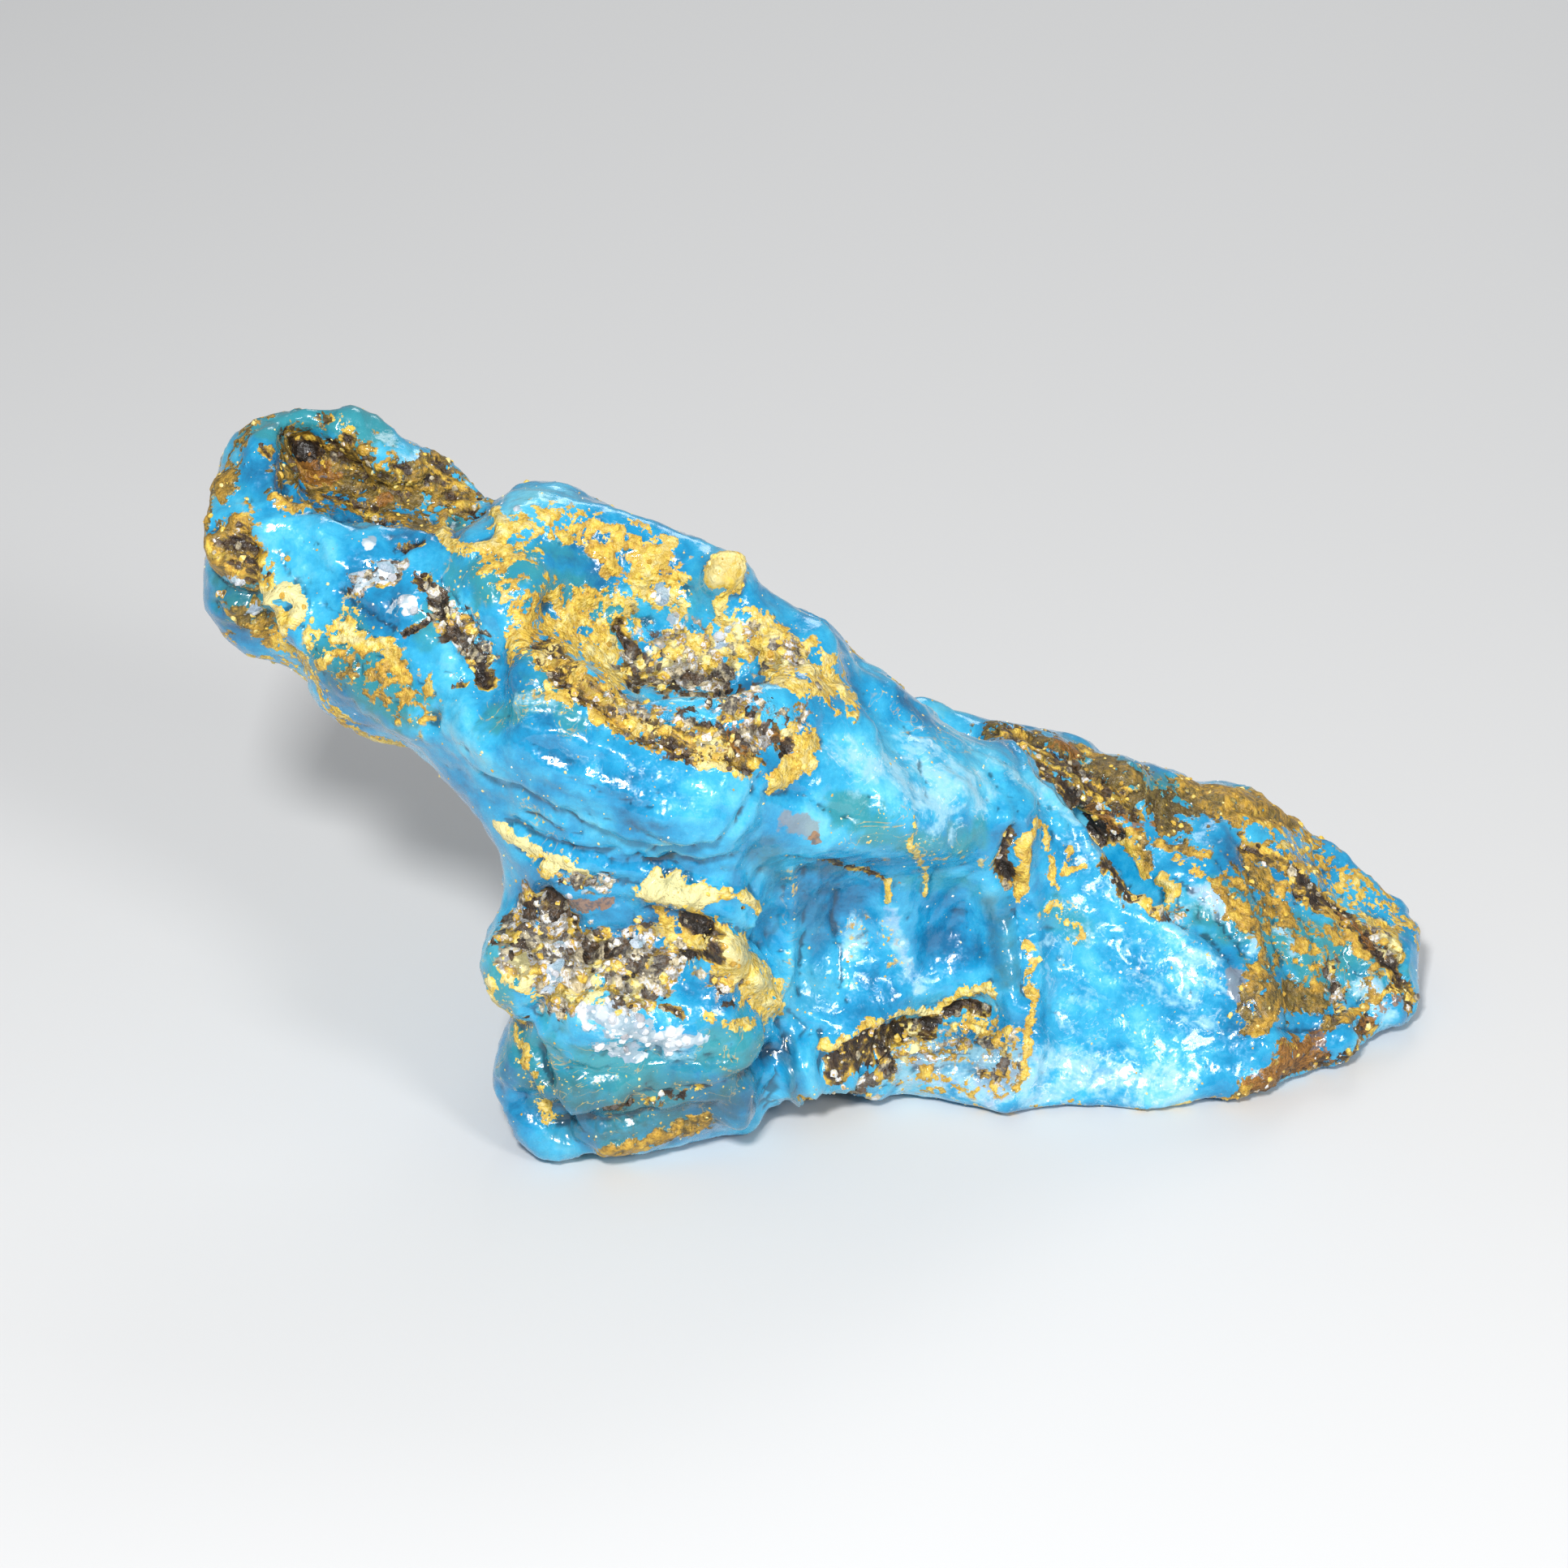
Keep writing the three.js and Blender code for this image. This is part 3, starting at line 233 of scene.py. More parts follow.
# Knobs: name -> (path, radius, height)
KNOBS = {
    "nugget corner": ([(-4.6, 8.3, 36.6)], 0.75, 0.75),
    "nugget edge": ([(-3, 8.6, 37.4)], 0.6, 0.75),
    "nugget top": ([(-3.9, 8.9, 37.9)], 0.6, 0.6),
    "nugget": ([(-3.8, 8.5, 37.2)], 1, 0.7),
    "under the nugget": ([(-4.3, 7.7, 34.7)], 0.5, 0.35),
    "left end high": ([(-37.4, 15.3, 39.8), (-37.4, 13.1, 38.5)], 0.9, 0.5),
    "left end middle": ([(-37.5, 11.1, 37.8), (-37.2, 10.8, 36.8)], 0.6, 0.45),
    "left glass one": ([(-35.7, 10.7, 35.2)], 0.55, 0.5),
    "left glass two": ([(-34.9, 10.5, 32.5)], 0.5, 0.45),
    "left end low": ([(-36.2, 10.2, 32), (-34.7, 10.3, 30.7)], 0.7, 0.45),
    "left end bottom": ([(-34, 11, 29.3)], 0.6, 0.35),
    "left curl body": ([(-33.6, 10.2, 36.5), (-32.5, 8.7, 35.2)], 0.7, 0.45),
    "arm lump": ([(-33.1, 11.6, 38.8), (-30.9, 11.6, 39.3)], 1.3, 0.4),
    "gully quartz": ([(-24.2, 6.2, 36.1)], 0.8, 0.6),
    "gully cell": ([(-23.3, 4.4, 34.7)], 0.7, 0.45),
    "gully low lump": ([(-21.8, 3.6, 34.1), (-21.2, 3, 33.5)], 0.6, 0.4),
    "crown grain": ([(-17.2, 10.2, 40.7)], 0.4, 0.35),
    "orange lump": ([(-11.7, 9.9, 37.3)], 0.7, 0.5),
    "dish lump one": ([(-8.9, 9.6, 36.5)], 0.55, 0.4),
    "dish lump two": ([(-6.9, 9.4, 34.8)], 0.6, 0.35),
    "crumbs one": ([(-0.8, 6.5, 32.8)], 0.7, 0.45),
    "crumbs two": ([(1.8, 5.2, 32.3)], 0.7, 0.4),
    "crumbs three": ([(3.9, 6.3, 30.3)], 0.6, 0.4),
    "crumbs four": ([(-3.2, 6.7, 32.4)], 0.6, 0.4),
    "trough lumps": ([(-15.1, 3.8, 34.5), (-13.8, 0.9, 34.6), (-12.3, -0.5, 34.3)], 0.6, 0.4),
    "strata end": ([(-0.5, -1.5, 27.3)], 0.5, 0.45),
    "neck strip": ([(-17.1, -1, 22.4)], 0.5, 0.3),
    "foot cream": ([(-8.2, -3.2, 20.3), (-6.1, -3.7, 20.2)], 0.7, 0.7),
    "foot mass one": ([(-4.5, -4.3, 17)], 0.55, 0.5),
    "foot mass two": ([(-3.2, -5.2, 16.2)], 0.6, 0.55),
    "foot mass three": ([(-2.2, -2.8, 13.2)], 0.55, 0.5),
    "foot mass four": ([(-1.3, -1.3, 10.5)], 0.5, 0.45),
    "foot mass five": ([(-3.5, -4.5, 13.6)], 0.5, 0.35),
    "foot shoulder": ([(-18.6, -4.1, 15.5), (-18.5, -4.7, 14)], 1, 0.4),
    "foot grit one": ([(-14.5, -4.3, 15)], 0.8, 0.4),
    "foot grit two": ([(-10.3, -3.9, 15.1)], 0.8, 0.4),
    "foot middle": ([(-13.8, -6.9, 7.3), (-10.9, -6.7, 6.6)], 1.2, 0.35),
    "foot right": ([(-4.5, -6.3, 7.6), (-3.5, -6.2, 8.2)], 0.9, 0.4),
    "brow lump": ([(1.8, 2.3, 17.3)], 0.8, 0.35),
    "alcove lump": ([(4.3, 4.6, 12.7)], 0.7, 0.3),
    "seam lump": ([(1, -0.6, 5.8), (1.8, -0.4, 6.3)], 0.8, 0.4),
    "mound one": ([(8.9, 3, 4.4)], 0.7, 0.35),
    "mound two": ([(11.6, 4.2, 5.2)], 0.6, 0.35),
    "mound three": ([(13.5, 2.1, 4.6)], 0.7, 0.35),
    "slope one": ([(14.5, 6.3, 19.7)], 0.7, 0.4),
    "slope two": ([(16.5, 8.3, 20)], 0.9, 0.35),
    "slope three": ([(18.4, 9.7, 17.7)], 0.7, 0.3),
    "slope four": ([(11.3, 5.1, 22.8)], 1.5, 0.4),
    "slope five": ([(5.8, 4.5, 27.3)], 1.2, 0.35),
    "crevice knob": ([(25.4, 11, 11.6)], 0.6, 0.4),
    "lilac cell": ([(28.6, 10.4, 11.2)], 1, 0.4),
    "lilac cell two": ([(31.6, 8.5, 8.8)], 0.6, 0.35),
    "lilac cell three": ([(34.2, 10.4, 7.8)], 0.6, 0.35),
    "end cell one": ([(35.2, 9.3, 5.6)], 0.8, 0.35),
    "end cell two": ([(39.7, 11.2, 3.8)], 0.9, 0.45),
    "end cell three": ([(32.3, 3.6, 3.8)], 0.7, 0.4),
    "end cell four": ([(35.1, 6, 2.8)], 0.5, 0.35),
    "end cell five": ([(37.4, 13.3, 7.3)], 0.7, 0.3),
    "end cell six": ([(42.1, 14.8, 5.7)], 0.7, 0.35),
    "facet lump": ([(25.2, 5.9, 8.7), (26.3, 5.2, 7.5)], 1.3, 0.3),
    "facet corner": ([(29.1, 2.7, 2.3)], 0.9, 0.3),
    "hump one": ([(19, 18, 18.4)], 1.4, 0.4),
    "hump two": ([(23.9, 16.3, 17)], 1.3, 0.35),
    "hump three": ([(30.3, 19.3, 14.1)], 1.2, 0.4),
    "hump four": ([(35.1, 22.6, 9.8)], 1, 0.35),
    "foot left lobe": ([(-18.3, -4.3, 15.7), (-18.1, -4.7, 13.1)], 1.7, 0.55),
    "foot left lobe inner": ([(-16.6, -5.2, 13.5), (-15.8, -5.2, 15)], 1, 0.4),
    "foot low lobe": ([(-17.4, -3.6, 5.8), (-16.9, -4.1, 3.6)], 1.6, 0.5),
    "foot belly": ([(-11.9, -6.1, 8.1), (-8.8, -6, 7.9), (-5.6, -5.8, 8.5)], 2, 0.5),
    "foot toe": ([(-14.2, -4.4, 1.8), (-11, -6.6, 3)], 1.3, 0.45),
    "foot right belly": ([(-2.4, -5.5, 9), (-1.9, -4.4, 10.1)], 1.3, 0.45),
    "foot cream high": ([(-9.2, -3.3, 20.6), (-7.9, -3.2, 20.3), (-6.1, -3.7, 20.2)], 0.9, 0.6),
    "foot mass big": ([(-4, -4.9, 17), (-2.2, -2.7, 13.4), (-1.4, -1.3, 10.4)], 1, 0.5),
    "foot quartz bank": ([(-11.8, -7.8, 12.8), (-9.2, -6.7, 11.5), (-6.6, -6.6, 10.9)], 1, 0.3),
    "bowl fill": ([(-33, 18.8, 39.7), (-33, 16.8, 39.1)], 1.3, 0.9),
    "arch": ([(0.4, -0.4, 4.4), (2.6, 0.2, 4), (5, 1.6, 3.2)], 2, 2),
}

# Small pits: (place, radius, depth)
PITS = [
    ((-31.7, 19.0, 40.6), 1.1, 1.0),
    ((-22.6, 1.7, 29.7), 0.55, 0.5),
    ((-20.6, -0.6, 28.9), 0.4, 0.35),
    ((-20.8, 2.2, 32.7), 0.35, 0.3),
    ((-13.6, -5.4, 14.5), 0.8, 0.8),
    ((-10.6, -3.2, 17.0), 0.5, 0.4),
    ((-8.6, 8.4, 33.8), 0.8, 0.6),
    ((-5.2, 6.6, 32.4), 0.7, 0.5),
    ((2.0, 2.0, 28.0), 0.5, 0.35),
    ((25.4, 11.0, 11.6), 0.5, 0.5),
    ((8.0, 5.0, 13.4), 0.35, 0.25),
    ((-15.6, 7.0, 35.6), 0.7, 0.5),
    ((22.0, 6.6, 10.6), 0.3, 0.2),
    ((27.4, 5.4, 7.0), 0.3, 0.2),
]

# Layers round a part of the lump: (path, reach, pitch, height, direction they are counted along)
LAYERS = {
    "foot": ([(-14.0, -5.0, 6.0), (-6.0, -5.0, 6.0)], 7.0, 1.9, 0.07, (0.3, 0.1, 1.0)),
    "neck": ([(-15.0, -2.0, 22.4), (-5.0, -3.6, 22.4)], 2.6, 1.1, 0.1, (0.12, 0.2, 1.0)),
    "arm": ([(-31.0, 9.0, 31.0), (-23.0, 4.0, 30.0)], 4.5, 2.3, 0.22, (0.35, 0.2, 1.0)),
    "right end": ([(31.0, 12.0, 9.0), (39.0, 13.0, 4.0)], 6.5, 1.9, 0.3, (1.0, 0.35, -0.1)),
    "back": ([(0.0, 24.0, 12.0), (30.0, 25.0, 5.0)], 9.0, 2.6, 0.3, (0.3, 0.1, 1.0)),
    "alcove": ([(2.0, 3.0, 13.0), (9.0, 5.0, 13.0)], 4.5, 2.2, 0.05, (1.0, -0.3, 0.1)),
}


# Places where the whole skin is drawn in or out: name -> (path, reach, move)
SWELLS = {
    "head top": ([(-24.9, 17.3, 41.9), (-23, 18.3, 40.7)], 3, (-0.4, -0.75, -1.3)),
    "head top far": ([(-23.4, 21.6, 39.9), (-21.4, 20.7, 38.8)], 2.4, (-0.1, -0.25, -0.4)),
    "head top bump": ([(-28.2, 20.8, 42.2), (-27.2, 20.8, 41.6)], 1.3, (0, 0.4, 0.8)),
    "head left": ([(-36.5, 16.3, 41.7)], 2.5, (0.6, -0.1, -0.3)),
    "head low left": ([(-35.7, 10.4, 30.7), (-32.4, 10, 30)], 3, (0.8, 1.1, 1.7)),
    "head bottom": ([(-36, 13.2, 27.5), (-34, 12.9, 27.1)], 2.6, (0.2, 0.4, 0.8)),
    "crown right": ([(-8.6, 15.5, 37.9), (-6.9, 15.4, 37.3),
        (-5, 14.8, 37.2)], 2.4, (0, -0.45, -0.8)),
    "beside the nugget": ([(-2.4, 14.6, 35), (-1.8, 15.7, 33.5)], 2, (-0.1, -0.6, -1.1)),
    "hump right": ([(1.8, 8.4, 34.4), (3.4, 8, 32.3)], 3, (-0.5, -0.95, -1.6)),
    "hump right far": ([(-1.8, 15.7, 33.5), (0, 14.3, 33.5), (1.6, 12.9, 33.1),
        (3.3, 11.5, 32.3), (5, 12.5, 30)], 2.6, (-0.2, -0.7, -1.3)),
    "right end": ([(41.3, 20.1, 7.1)], 4.2, (-1, -1.3, -2.3)),
    "right end far": ([(42.6, 25, 5), (40.6, 24.6, 5)], 3.2, (-2.2, -3.8, -1.3)),
    "end saddle": ([(38.8, 21.4, 6.6), (40.2, 20.7, 5.5)], 2.4, (0.3, 1.2, 2.7)),
    "end tip": ([(43.4, 18.4, 3.8)], 1.8, (0.5, 0.3, 1)),
    "foot right": ([(-2.2, -4.4, 4.4)], 2, (0, -0.9, -1.3)),
    "foot right corner": ([(-1.9, -0.6, 1.2)], 1.8, (0.2, -1.3, -0.3)),
    "foot bottom": ([(-15, -4.8, 0.9)], 2.5, (0, -0.8, -0.3)),
    "bottom right": ([(25.8, 1.6, 1.4), (30.2, 2.3, 1.4)], 3.5, (0, -0.9, -0.3)),
    "back hump": ([(11.2, 19.6, 21)], 2.6, (-0.6, 0.9, 1.6)),
    "far hump": ([(34.6, 20, 11.6)], 2.6, (0.4, 0.5, 0.9)),
}

# Coverings: kind -> name -> (path, reach, share of the skin that it takes there)
COVERS = {
    "crust": {
        "end wash far": ([(34, 17, 11), (38, 18, 8), (42, 18, 5)], 2.4, 0.42),
        "end wash": ([(31, 12, 11), (33, 9.5, 8), (36, 11, 6.8), (39.5, 13, 5.8)], 2.4, 0.36),
        "head bowl": ([(-33.2, 14.6, 42.5), (-31.3, 19.8, 40), (-28.3, 19.8, 39.4),
            (-25, 18.2, 38.9), (-22.4, 18.3, 38.2)], 2.6, 0.6),
        "bowl lip": ([(-32.9, 14.5, 41.7), (-33.5, 12.8, 40.4), (-31.6, 12.5, 39.6),
            (-30.1, 15.3, 37.9)], 0.5, 0.85),
        "tongue": ([(-32.6, 13.3, 40.5), (-30, 17, 38.7), (-27.4, 17, 37.8), (-24.9, 15.3, 37.4),
            (-23.1, 15.5, 36.6)], 1.1, 0.52),
        "left edge": ([(-36.9, 15, 40.9), (-37.7, 17.4, 37.6), (-37.4, 10.9, 36.8)], 1.6, 0.78),
        "left end": ([(-36, 10.9, 37.8), (-35.2, 10.3, 36.4)], 1.9, 0.72),
        "left curl": (LIPS["left curl stem"][0], 0.42, 1),
        "left curl ring": (LIPS["left curl ring"][0], 0.4, 1.05),
        "left low edge": ([(-35.9, 10.2, 32.2), (-34.4, 10.1, 31), (-32.7, 9.3, 30.1)], 1.2, 0.66),
        "arm dust": ([(-28.9, 6.1, 33.3), (-27.6, 4.9, 32.5), (-26, 4.1, 32),
            (-24.5, 2.9, 30.8)], 1.9, 0.38),
        "arm rim": ([(-29.1, 6.7, 34.2), (-28.3, 6.1, 33.6), (-27, 5.3, 33.3),
            (-25.7, 4.8, 33.9), (-25.1, 4.2, 32.8), (-24.5, 3.7, 31.8)], 0.45, 0.85),
        "arm leaf": ([(-22.9, 2.9, 32.2), (-22.8, 2.7, 31.5)], 0.3, 0.9),
        "arm underside": ([(-31.8, 7, 30.9), (-30, 6.5, 28.6), (-27.8, 7.3, 25.7),
            (-25.3, 6.2, 25.6)], 0.9, 0.55),
        "gully cream": ([(-19.9, 5, 36.7), (-19.5, 4.5, 35.6)], 0.3, 0.95),
        "crown curl": (LIPS["crown curl"][0], 0.42, 0.9),
        "crown": ([(-17.1, 8.9, 40.1), (-14.9, 9.7, 40.2), (-12.8, 10.3, 39.1),
            (-11.3, 10.2, 37.9)], 1.6, 0.5),
        "crown low": ([(-18.9, 6.1, 38.5), (-17, 7.1, 39.2), (-14.5, 9.1, 38.7)], 1, 0.5),
        "dish middle": ([(-18, 4.5, 37.3), (-15.7, 5.4, 36.3), (-13.2, 7.7, 35.5),
            (-10.6, 8.5, 34)], 1.7, 0.47),
        "dish low": ([(-16.4, 5, 35), (-14, 6.1, 33.6), (-11.3, 7.2, 32)], 1.5, 0.62),
        "orange lump": ([(-11.7, 10.1, 37.8), (-11.3, 9.5, 36.7)], 0.9, 1.05),
        "dish right": ([(-9, 9.9, 37.3), (-8.6, 9.5, 35.6), (-6.8, 9.4, 35.2),
            (-6.1, 8.9, 34.1)], 1.5, 0.72),
        "nugget": (KNOBS["nugget"][0], 1.05, 1.3),
        "under the nugget": ([(-4.3, 7.5, 35.4), (-4.3, 7.9, 33.9)], 0.5, 0.95),
        "crumbs": ([(-6.1, 7.2, 32.7), (-3.2, 7.1, 32.7), (-0.8, 6.2, 32.5), (1.8, 5, 32.2),
            (3.9, 6.3, 30.3)], 1.8, 0.82),
        "trough": ([(-15.3, 3.1, 34.8), (-13.5, -1.1, 34.1), (-11.5, -2.1, 33)], 1.2, 0.7),
        "strata": ([(-11.6, -1.7, 33.3), (-8.6, -2.4, 31.7), (-5.5, -2.9, 30.7),
            (-2.4, -2.4, 29.8)], 1.1, 0.72),
        "strata end": ([(-0.6, -1.6, 27.4), (1, -0.1, 27.8), (1.8, 1.1, 28.8)], 0.8, 0.76),
        "neck strip": ([(-18.6, 0.1, 23), (-17.1, -1, 22.4), (-15.8, -2.1, 22.1)], 0.42, 1),
        "neck hook": ([(-15.6, -2.5, 21.2), (-14.4, -2.9, 22), (-12.7, -3.6, 21.4)], 0.42, 1),
        "foot cream": ([(-8.6, -3.2, 20.5), (-7, -3.4, 20.3), (-5.3, -3.8, 20)], 0.8, 1.3),
        "foot ring": ([(-4, -3.6, 20.1), (-2.2, -2.3, 18.9), (-1.2, -2.1, 17.6)], 0.36, 1),
        "foot mass": ([(-5.1, -3.5, 17), (-3.5, -5.1, 16.7), (-2.4, -2.8, 13.4),
            (-1.3, -1.3, 10.5)], 1.5, 0.86),
        "foot edge": ([(-7.9, -3.2, 18.6), (-7.4, -3.2, 16.3)], 0.45, 0.9),
        "foot specks": ([(-5.1, -6.2, 12.4), (-3.5, -6, 11.6), (-2.1, -4.2, 10.7)], 0.4, 0.62),
        "foot left line": ([(-18.6, -4.6, 14.2), (-17.5, -2.7, 9.2), (-16.3, -5.9, 6.8),
            (-15.5, -4.2, 3.3)], 0.5, 0.56),
        "foot underside": ([(-11.9, -6.2, 1.6), (-8.8, -5.9, 2.4), (-5.7, -5.1, 3.1)], 0.8, 0.72),
        "drip left": (LIPS["drip two"][0], 0.15, 0.8),
        "drip right": (LIPS["drip one"][0], 0.17, 0.75),
        "mottled": ([(6.6, 2.4, 18.9), (9.8, 2.3, 19.3), (13.1, 5.5, 17),
            (14.5, 5.8, 17.5)], 0.8, 0.14),
        "slit dust": ([(16.1, 6.2, 16.9), (15.7, 5.8, 14.5), (16.1, 5.5, 12.6)], 0.4, 0.36),
        "curls": ([(4.3, 3.9, 11.1), (5.2, 4.7, 13), (6.8, 4, 12.4), (7.2, 3.7, 10.1)], 0.5, 0.16),
        "lip": (LIPS["lip"][0], 0.33, 0.95),
        "mound": ([(7.9, 2.5, 4.3), (10.6, 3.8, 4.7), (13.2, 3.3, 5.3), (14.8, 1.4, 5)], 1.3, 0.26),
        "facet line": ([(16.3, 4.7, 11.2), (16.5, 2.8, 7.4), (16.1, 1.2, 4.6),
            (15.7, 0.2, 2.4)], 0.28, 0.64),
        "facet hook": ([(16.7, 8.1, 18.6), (15.9, 6.4, 17.7), (15.9, 6.1, 15.6),
            (15.7, 5.7, 14.2)], 0.5, 0.82),
        "facet hook end": ([(16.7, 8.1, 18.6), (17.4, 8.8, 17.6), (17.4, 8.1, 16.5)], 0.25, 0.8),
        "branch one": ([(17.7, 7.9, 15.9), (18.2, 7.2, 13.9)], 0.24, 0.9),
        "branch two": ([(19.2, 8.8, 16.2), (18.6, 7.8, 14.8), (20, 8.6, 15.1)], 0.22, 0.9),
        "facet dust": ([(17.4, 6.7, 12.8), (19.1, 6.6, 12.1), (19.7, 6.3, 10.9)], 0.8, 0.3),
        "crevice knob": (LIPS["crevice ring"][0], 0.34, 0.95),
        "crevice edge": ([(21.6, 13.8, 16), (23.4, 13.4, 13.7), (24.5, 12.5, 12.3)], 0.5, 0.7),
        "hump": ([(14.6, 17.2, 20.9), (17.8, 16.9, 19.3), (21.1, 16.5, 17.6), (24, 16, 16.4),
            (26.3, 16.3, 14.4)], 2, 0.66),
        "hump yellow": ([(20.2, 19.5, 17.7), (23.9, 16.1, 16.7), (25.7, 16.8, 14.9)], 0.7, 0.8),
        "far hump": ([(28.6, 19, 14.6), (31.7, 18.8, 13.9), (35.4, 23, 9.6)], 2, 0.95),
        "vein one": ([(22.7, 13.6, 15), (25.5, 13.8, 13.7), (28.2, 12.8, 13.3)], 0.4, 0.7),
        "vein two": ([(26.6, 12.5, 13), (29.3, 11.1, 11.9), (30.9, 9.6, 10.3)], 0.4, 0.66),
        "olive cells": ([(31.6, 15.7, 11.4), (32.4, 13.9, 10.2), (32.8, 12.6, 9.2)], 0.8, 0.8),
        "band one": ([(29.8, 11, 11.5), (31.4, 9.4, 9.8), (32.3, 8.7, 8.2),
            (31.6, 5.5, 7.3)], 0.7, 0.72),
        "band two": ([(32.2, 15.7, 11.1), (33.5, 13.4, 9.3), (35.2, 10.4, 7.3)], 0.6, 0.7),
        "band three": ([(35.1, 14.8, 10.3), (37.4, 14.5, 7.9), (39.6, 12.5, 5.9)], 1, 0.66),
        "band four": ([(40.4, 16.2, 6.9), (42, 13.5, 5.2)], 0.9, 0.8),
        "end patch": ([(31.2, 4.7, 5.6), (33.3, 6.6, 6.2), (36, 8.5, 4.6)], 1.1, 0.8),
        "end patch low": ([(31.5, 4.3, 4.7), (32.9, 4.6, 5.7)], 0.7, 0.8),
        "end bottom": ([(37, 6.7, 3.6), (39.5, 10.2, 2.7), (41.9, 11.3, 3.6)], 0.5, 0.7),
        "end underside": ([(31.4, 2.4, 0.9), (33.5, 3.5, 2.5), (35, 4.9, 2.5)], 1.1, 0.8),
        "bottom edge": ([(11.8, 1.3, 0.6), (17.9, 1.1, 0.3), (24.5, 1.5, 0.5),
            (30.1, 2.3, 0.9)], 0.3, 0.5),
        "crest": ([(-9.9, 11.6, 39.3), (-7.2, 10.7, 38.1)], 0.5, 0.5),
        "back": ([(-10, 21, 24), (-6, 23, 19)], 3.5, 0.6),
        "back middle": ([(4, 25, 14), (9, 25.5, 10)], 2.6, 0.64),
        "back low": ([(20, 25.5, 9), (27, 25.5, 7)], 3, 0.6),
        "back foot": ([(-4, 22, 3), (14, 25, 2)], 2.5, 0.6),
        "back right": ([(36, 24.5, 5), (41, 24, 3)], 2.5, 0.7),
        "back high": ([(-15, 17, 36), (-9, 16.5, 35)], 2.5, 0.6),
        "back crest": ([(1, 16, 29), (6, 16, 26)], 2, 0.6),
        "underside": ([(-10, 6, 0.5), (-2, 9, 0.5), (10, 12, 0.5), (22, 14, 0.5),
            (34, 15, 0.5)], 3, 0.58),
        "arm below": ([(-34, 16, 28), (-22, 14, 24)], 3.6, 0.54),
        "head back": ([(-33, 22, 38), (-26, 23, 36)], 4, 0.56),
        "dish dust left": ([(-17, 3.3, 34.8), (-14.8, 0.3, 34.7), (-13.7, -1.4, 33.8)], 1.3, 0.5),
        "dish middle low": ([(-11.9, 6.6, 32.4), (-10.8, 5.6, 31.2), (-11.6, -1.7, 33.4)], 1, 0.66),
        "hump right": ([(-1.7, 7.6, 33.7), (-0.3, 6.5, 33.1), (1, 5.4, 32.5)], 1.1, 0.85),
        "hump right low": ([(-1.4, 5.3, 31.3), (0.7, 2.5, 32), (3.4, 4.9, 30.4)], 0.8, 0.8),
        "dish yellow": ([(-14.5, 7, 34.6), (-12.4, 7.6, 33.7), (-11.4, 7.4, 32.6)], 1, 0.7),
        "trough leaf": ([(-8.8, 7.1, 31.3), (-7.2, 7, 31.9), (-5.6, 6.7, 32.4)], 0.8, 0.6),
        "strata leaf": ([(-9.6, -2.3, 32), (-7, -2.5, 31.5)], 0.35, 0.8),
        "strata leaf low": ([(-6.5, -3.6, 30.4), (-3.4, -3.6, 29.5)], 0.3, 0.75),
        "dish end leaf": ([(0.5, 0.6, 29.8), (1, 0.2, 28.5), (1.8, 0.3, 27.6)], 0.5, 0.85),
        "mound cream": ([(12.4, 3.9, 5.3), (13.5, 3.1, 5.3), (14.7, 1.7, 5.3)], 0.9, 0.5),
        "mound layers": ([(7.8, 2.6, 4.3), (10, 2.6, 4.4), (12.1, 2.1, 4.4)], 0.9, 0.34),
        "mound speckle": ([(8.9, 1.4, 2.2), (11.6, 1.1, 2.4), (14.6, 0.6, 3.1)], 1.1, 0.3),
        "foot gravel": ([(-17.1, -5, 15.2), (-15, -5.4, 14.2), (-11.3, -4.8, 14.7),
            (-9.3, -4.3, 14.1)], 1, 0.66),
        "foot gravel low": ([(-13.9, -6.5, 13.7), (-11.8, -6.6, 14)], 0.6, 0.5),
    },
    "earth": {
        "head bowl": ([(-32.6, 19.4, 40.1), (-29.4, 19.5, 40.4), (-26, 17.9, 39.7)], 2, 0.5),
        "bowl hole": ([(-31.6, 19.8, 40.1)], 0.9, 1.1),
        "bowl spot one": ([(-33.5, 15, 42.8)], 0.5, 0.8),
        "bowl spot two": ([(-28.7, 18.7, 41.7)], 0.6, 0.8),
        "tongue": ([(-30.3, 16.5, 38.5), (-27.6, 16.4, 37.6), (-24.8, 13.4, 37.8)], 1, 0.46),
        "head end": ([(-22.9, 18.8, 39.1), (-21.4, 18.2, 38.2), (-20.5, 17.4, 37.4)], 1.3, 0.66),
        "left dark": ([(-36, 11, 37.9), (-35.2, 10.7, 37.1)], 1.5, 0.7),
        "left hole": ([(-36.9, 11.9, 33.7)], 0.4, 0.9),
        "gully": ([(-23.5, 7.4, 37.2), (-22.2, 5.9, 36), (-20.6, 4.4, 34.6),
            (-18.9, 2.5, 32.2)], 0.72, 0.86),
        "gully branch": ([(-22.2, 5.6, 35.8), (-23.2, 4.9, 35.3), (-24.4, 4.8, 34.6)], 0.26, 1),
        "gully hole": ([(-20.7, 2, 32.6)], 0.4, 1),
        "gully top": ([(-24.5, 9.7, 38.4), (-23.5, 9.7, 38.7)], 0.6, 0.7),
        "dish gravel": ([(-9.3, 6.8, 31), (-7, 5.1, 30.8), (-4.9, 4.2, 30.6),
            (-3.2, -0.1, 32.4)], 1.4, 0.38),
        "dish stick": ([(-10.8, 8.2, 33.4), (-9.9, 7.1, 31.3)], 0.35, 0.75),
        "trough": ([(-15.2, 0.6, 35), (-13.4, -1.2, 34), (-11, -2.2, 32.8)], 0.8, 0.46),
        "strata": ([(-15.6, 0.7, 35.1), (-12.7, -1.6, 33.7), (-10.4, -2.6, 32.1),
            (-7.4, -3.3, 31), (-4.4, -3.4, 30), (-1.7, -2.3, 28.8)], 0.7, 0.5),
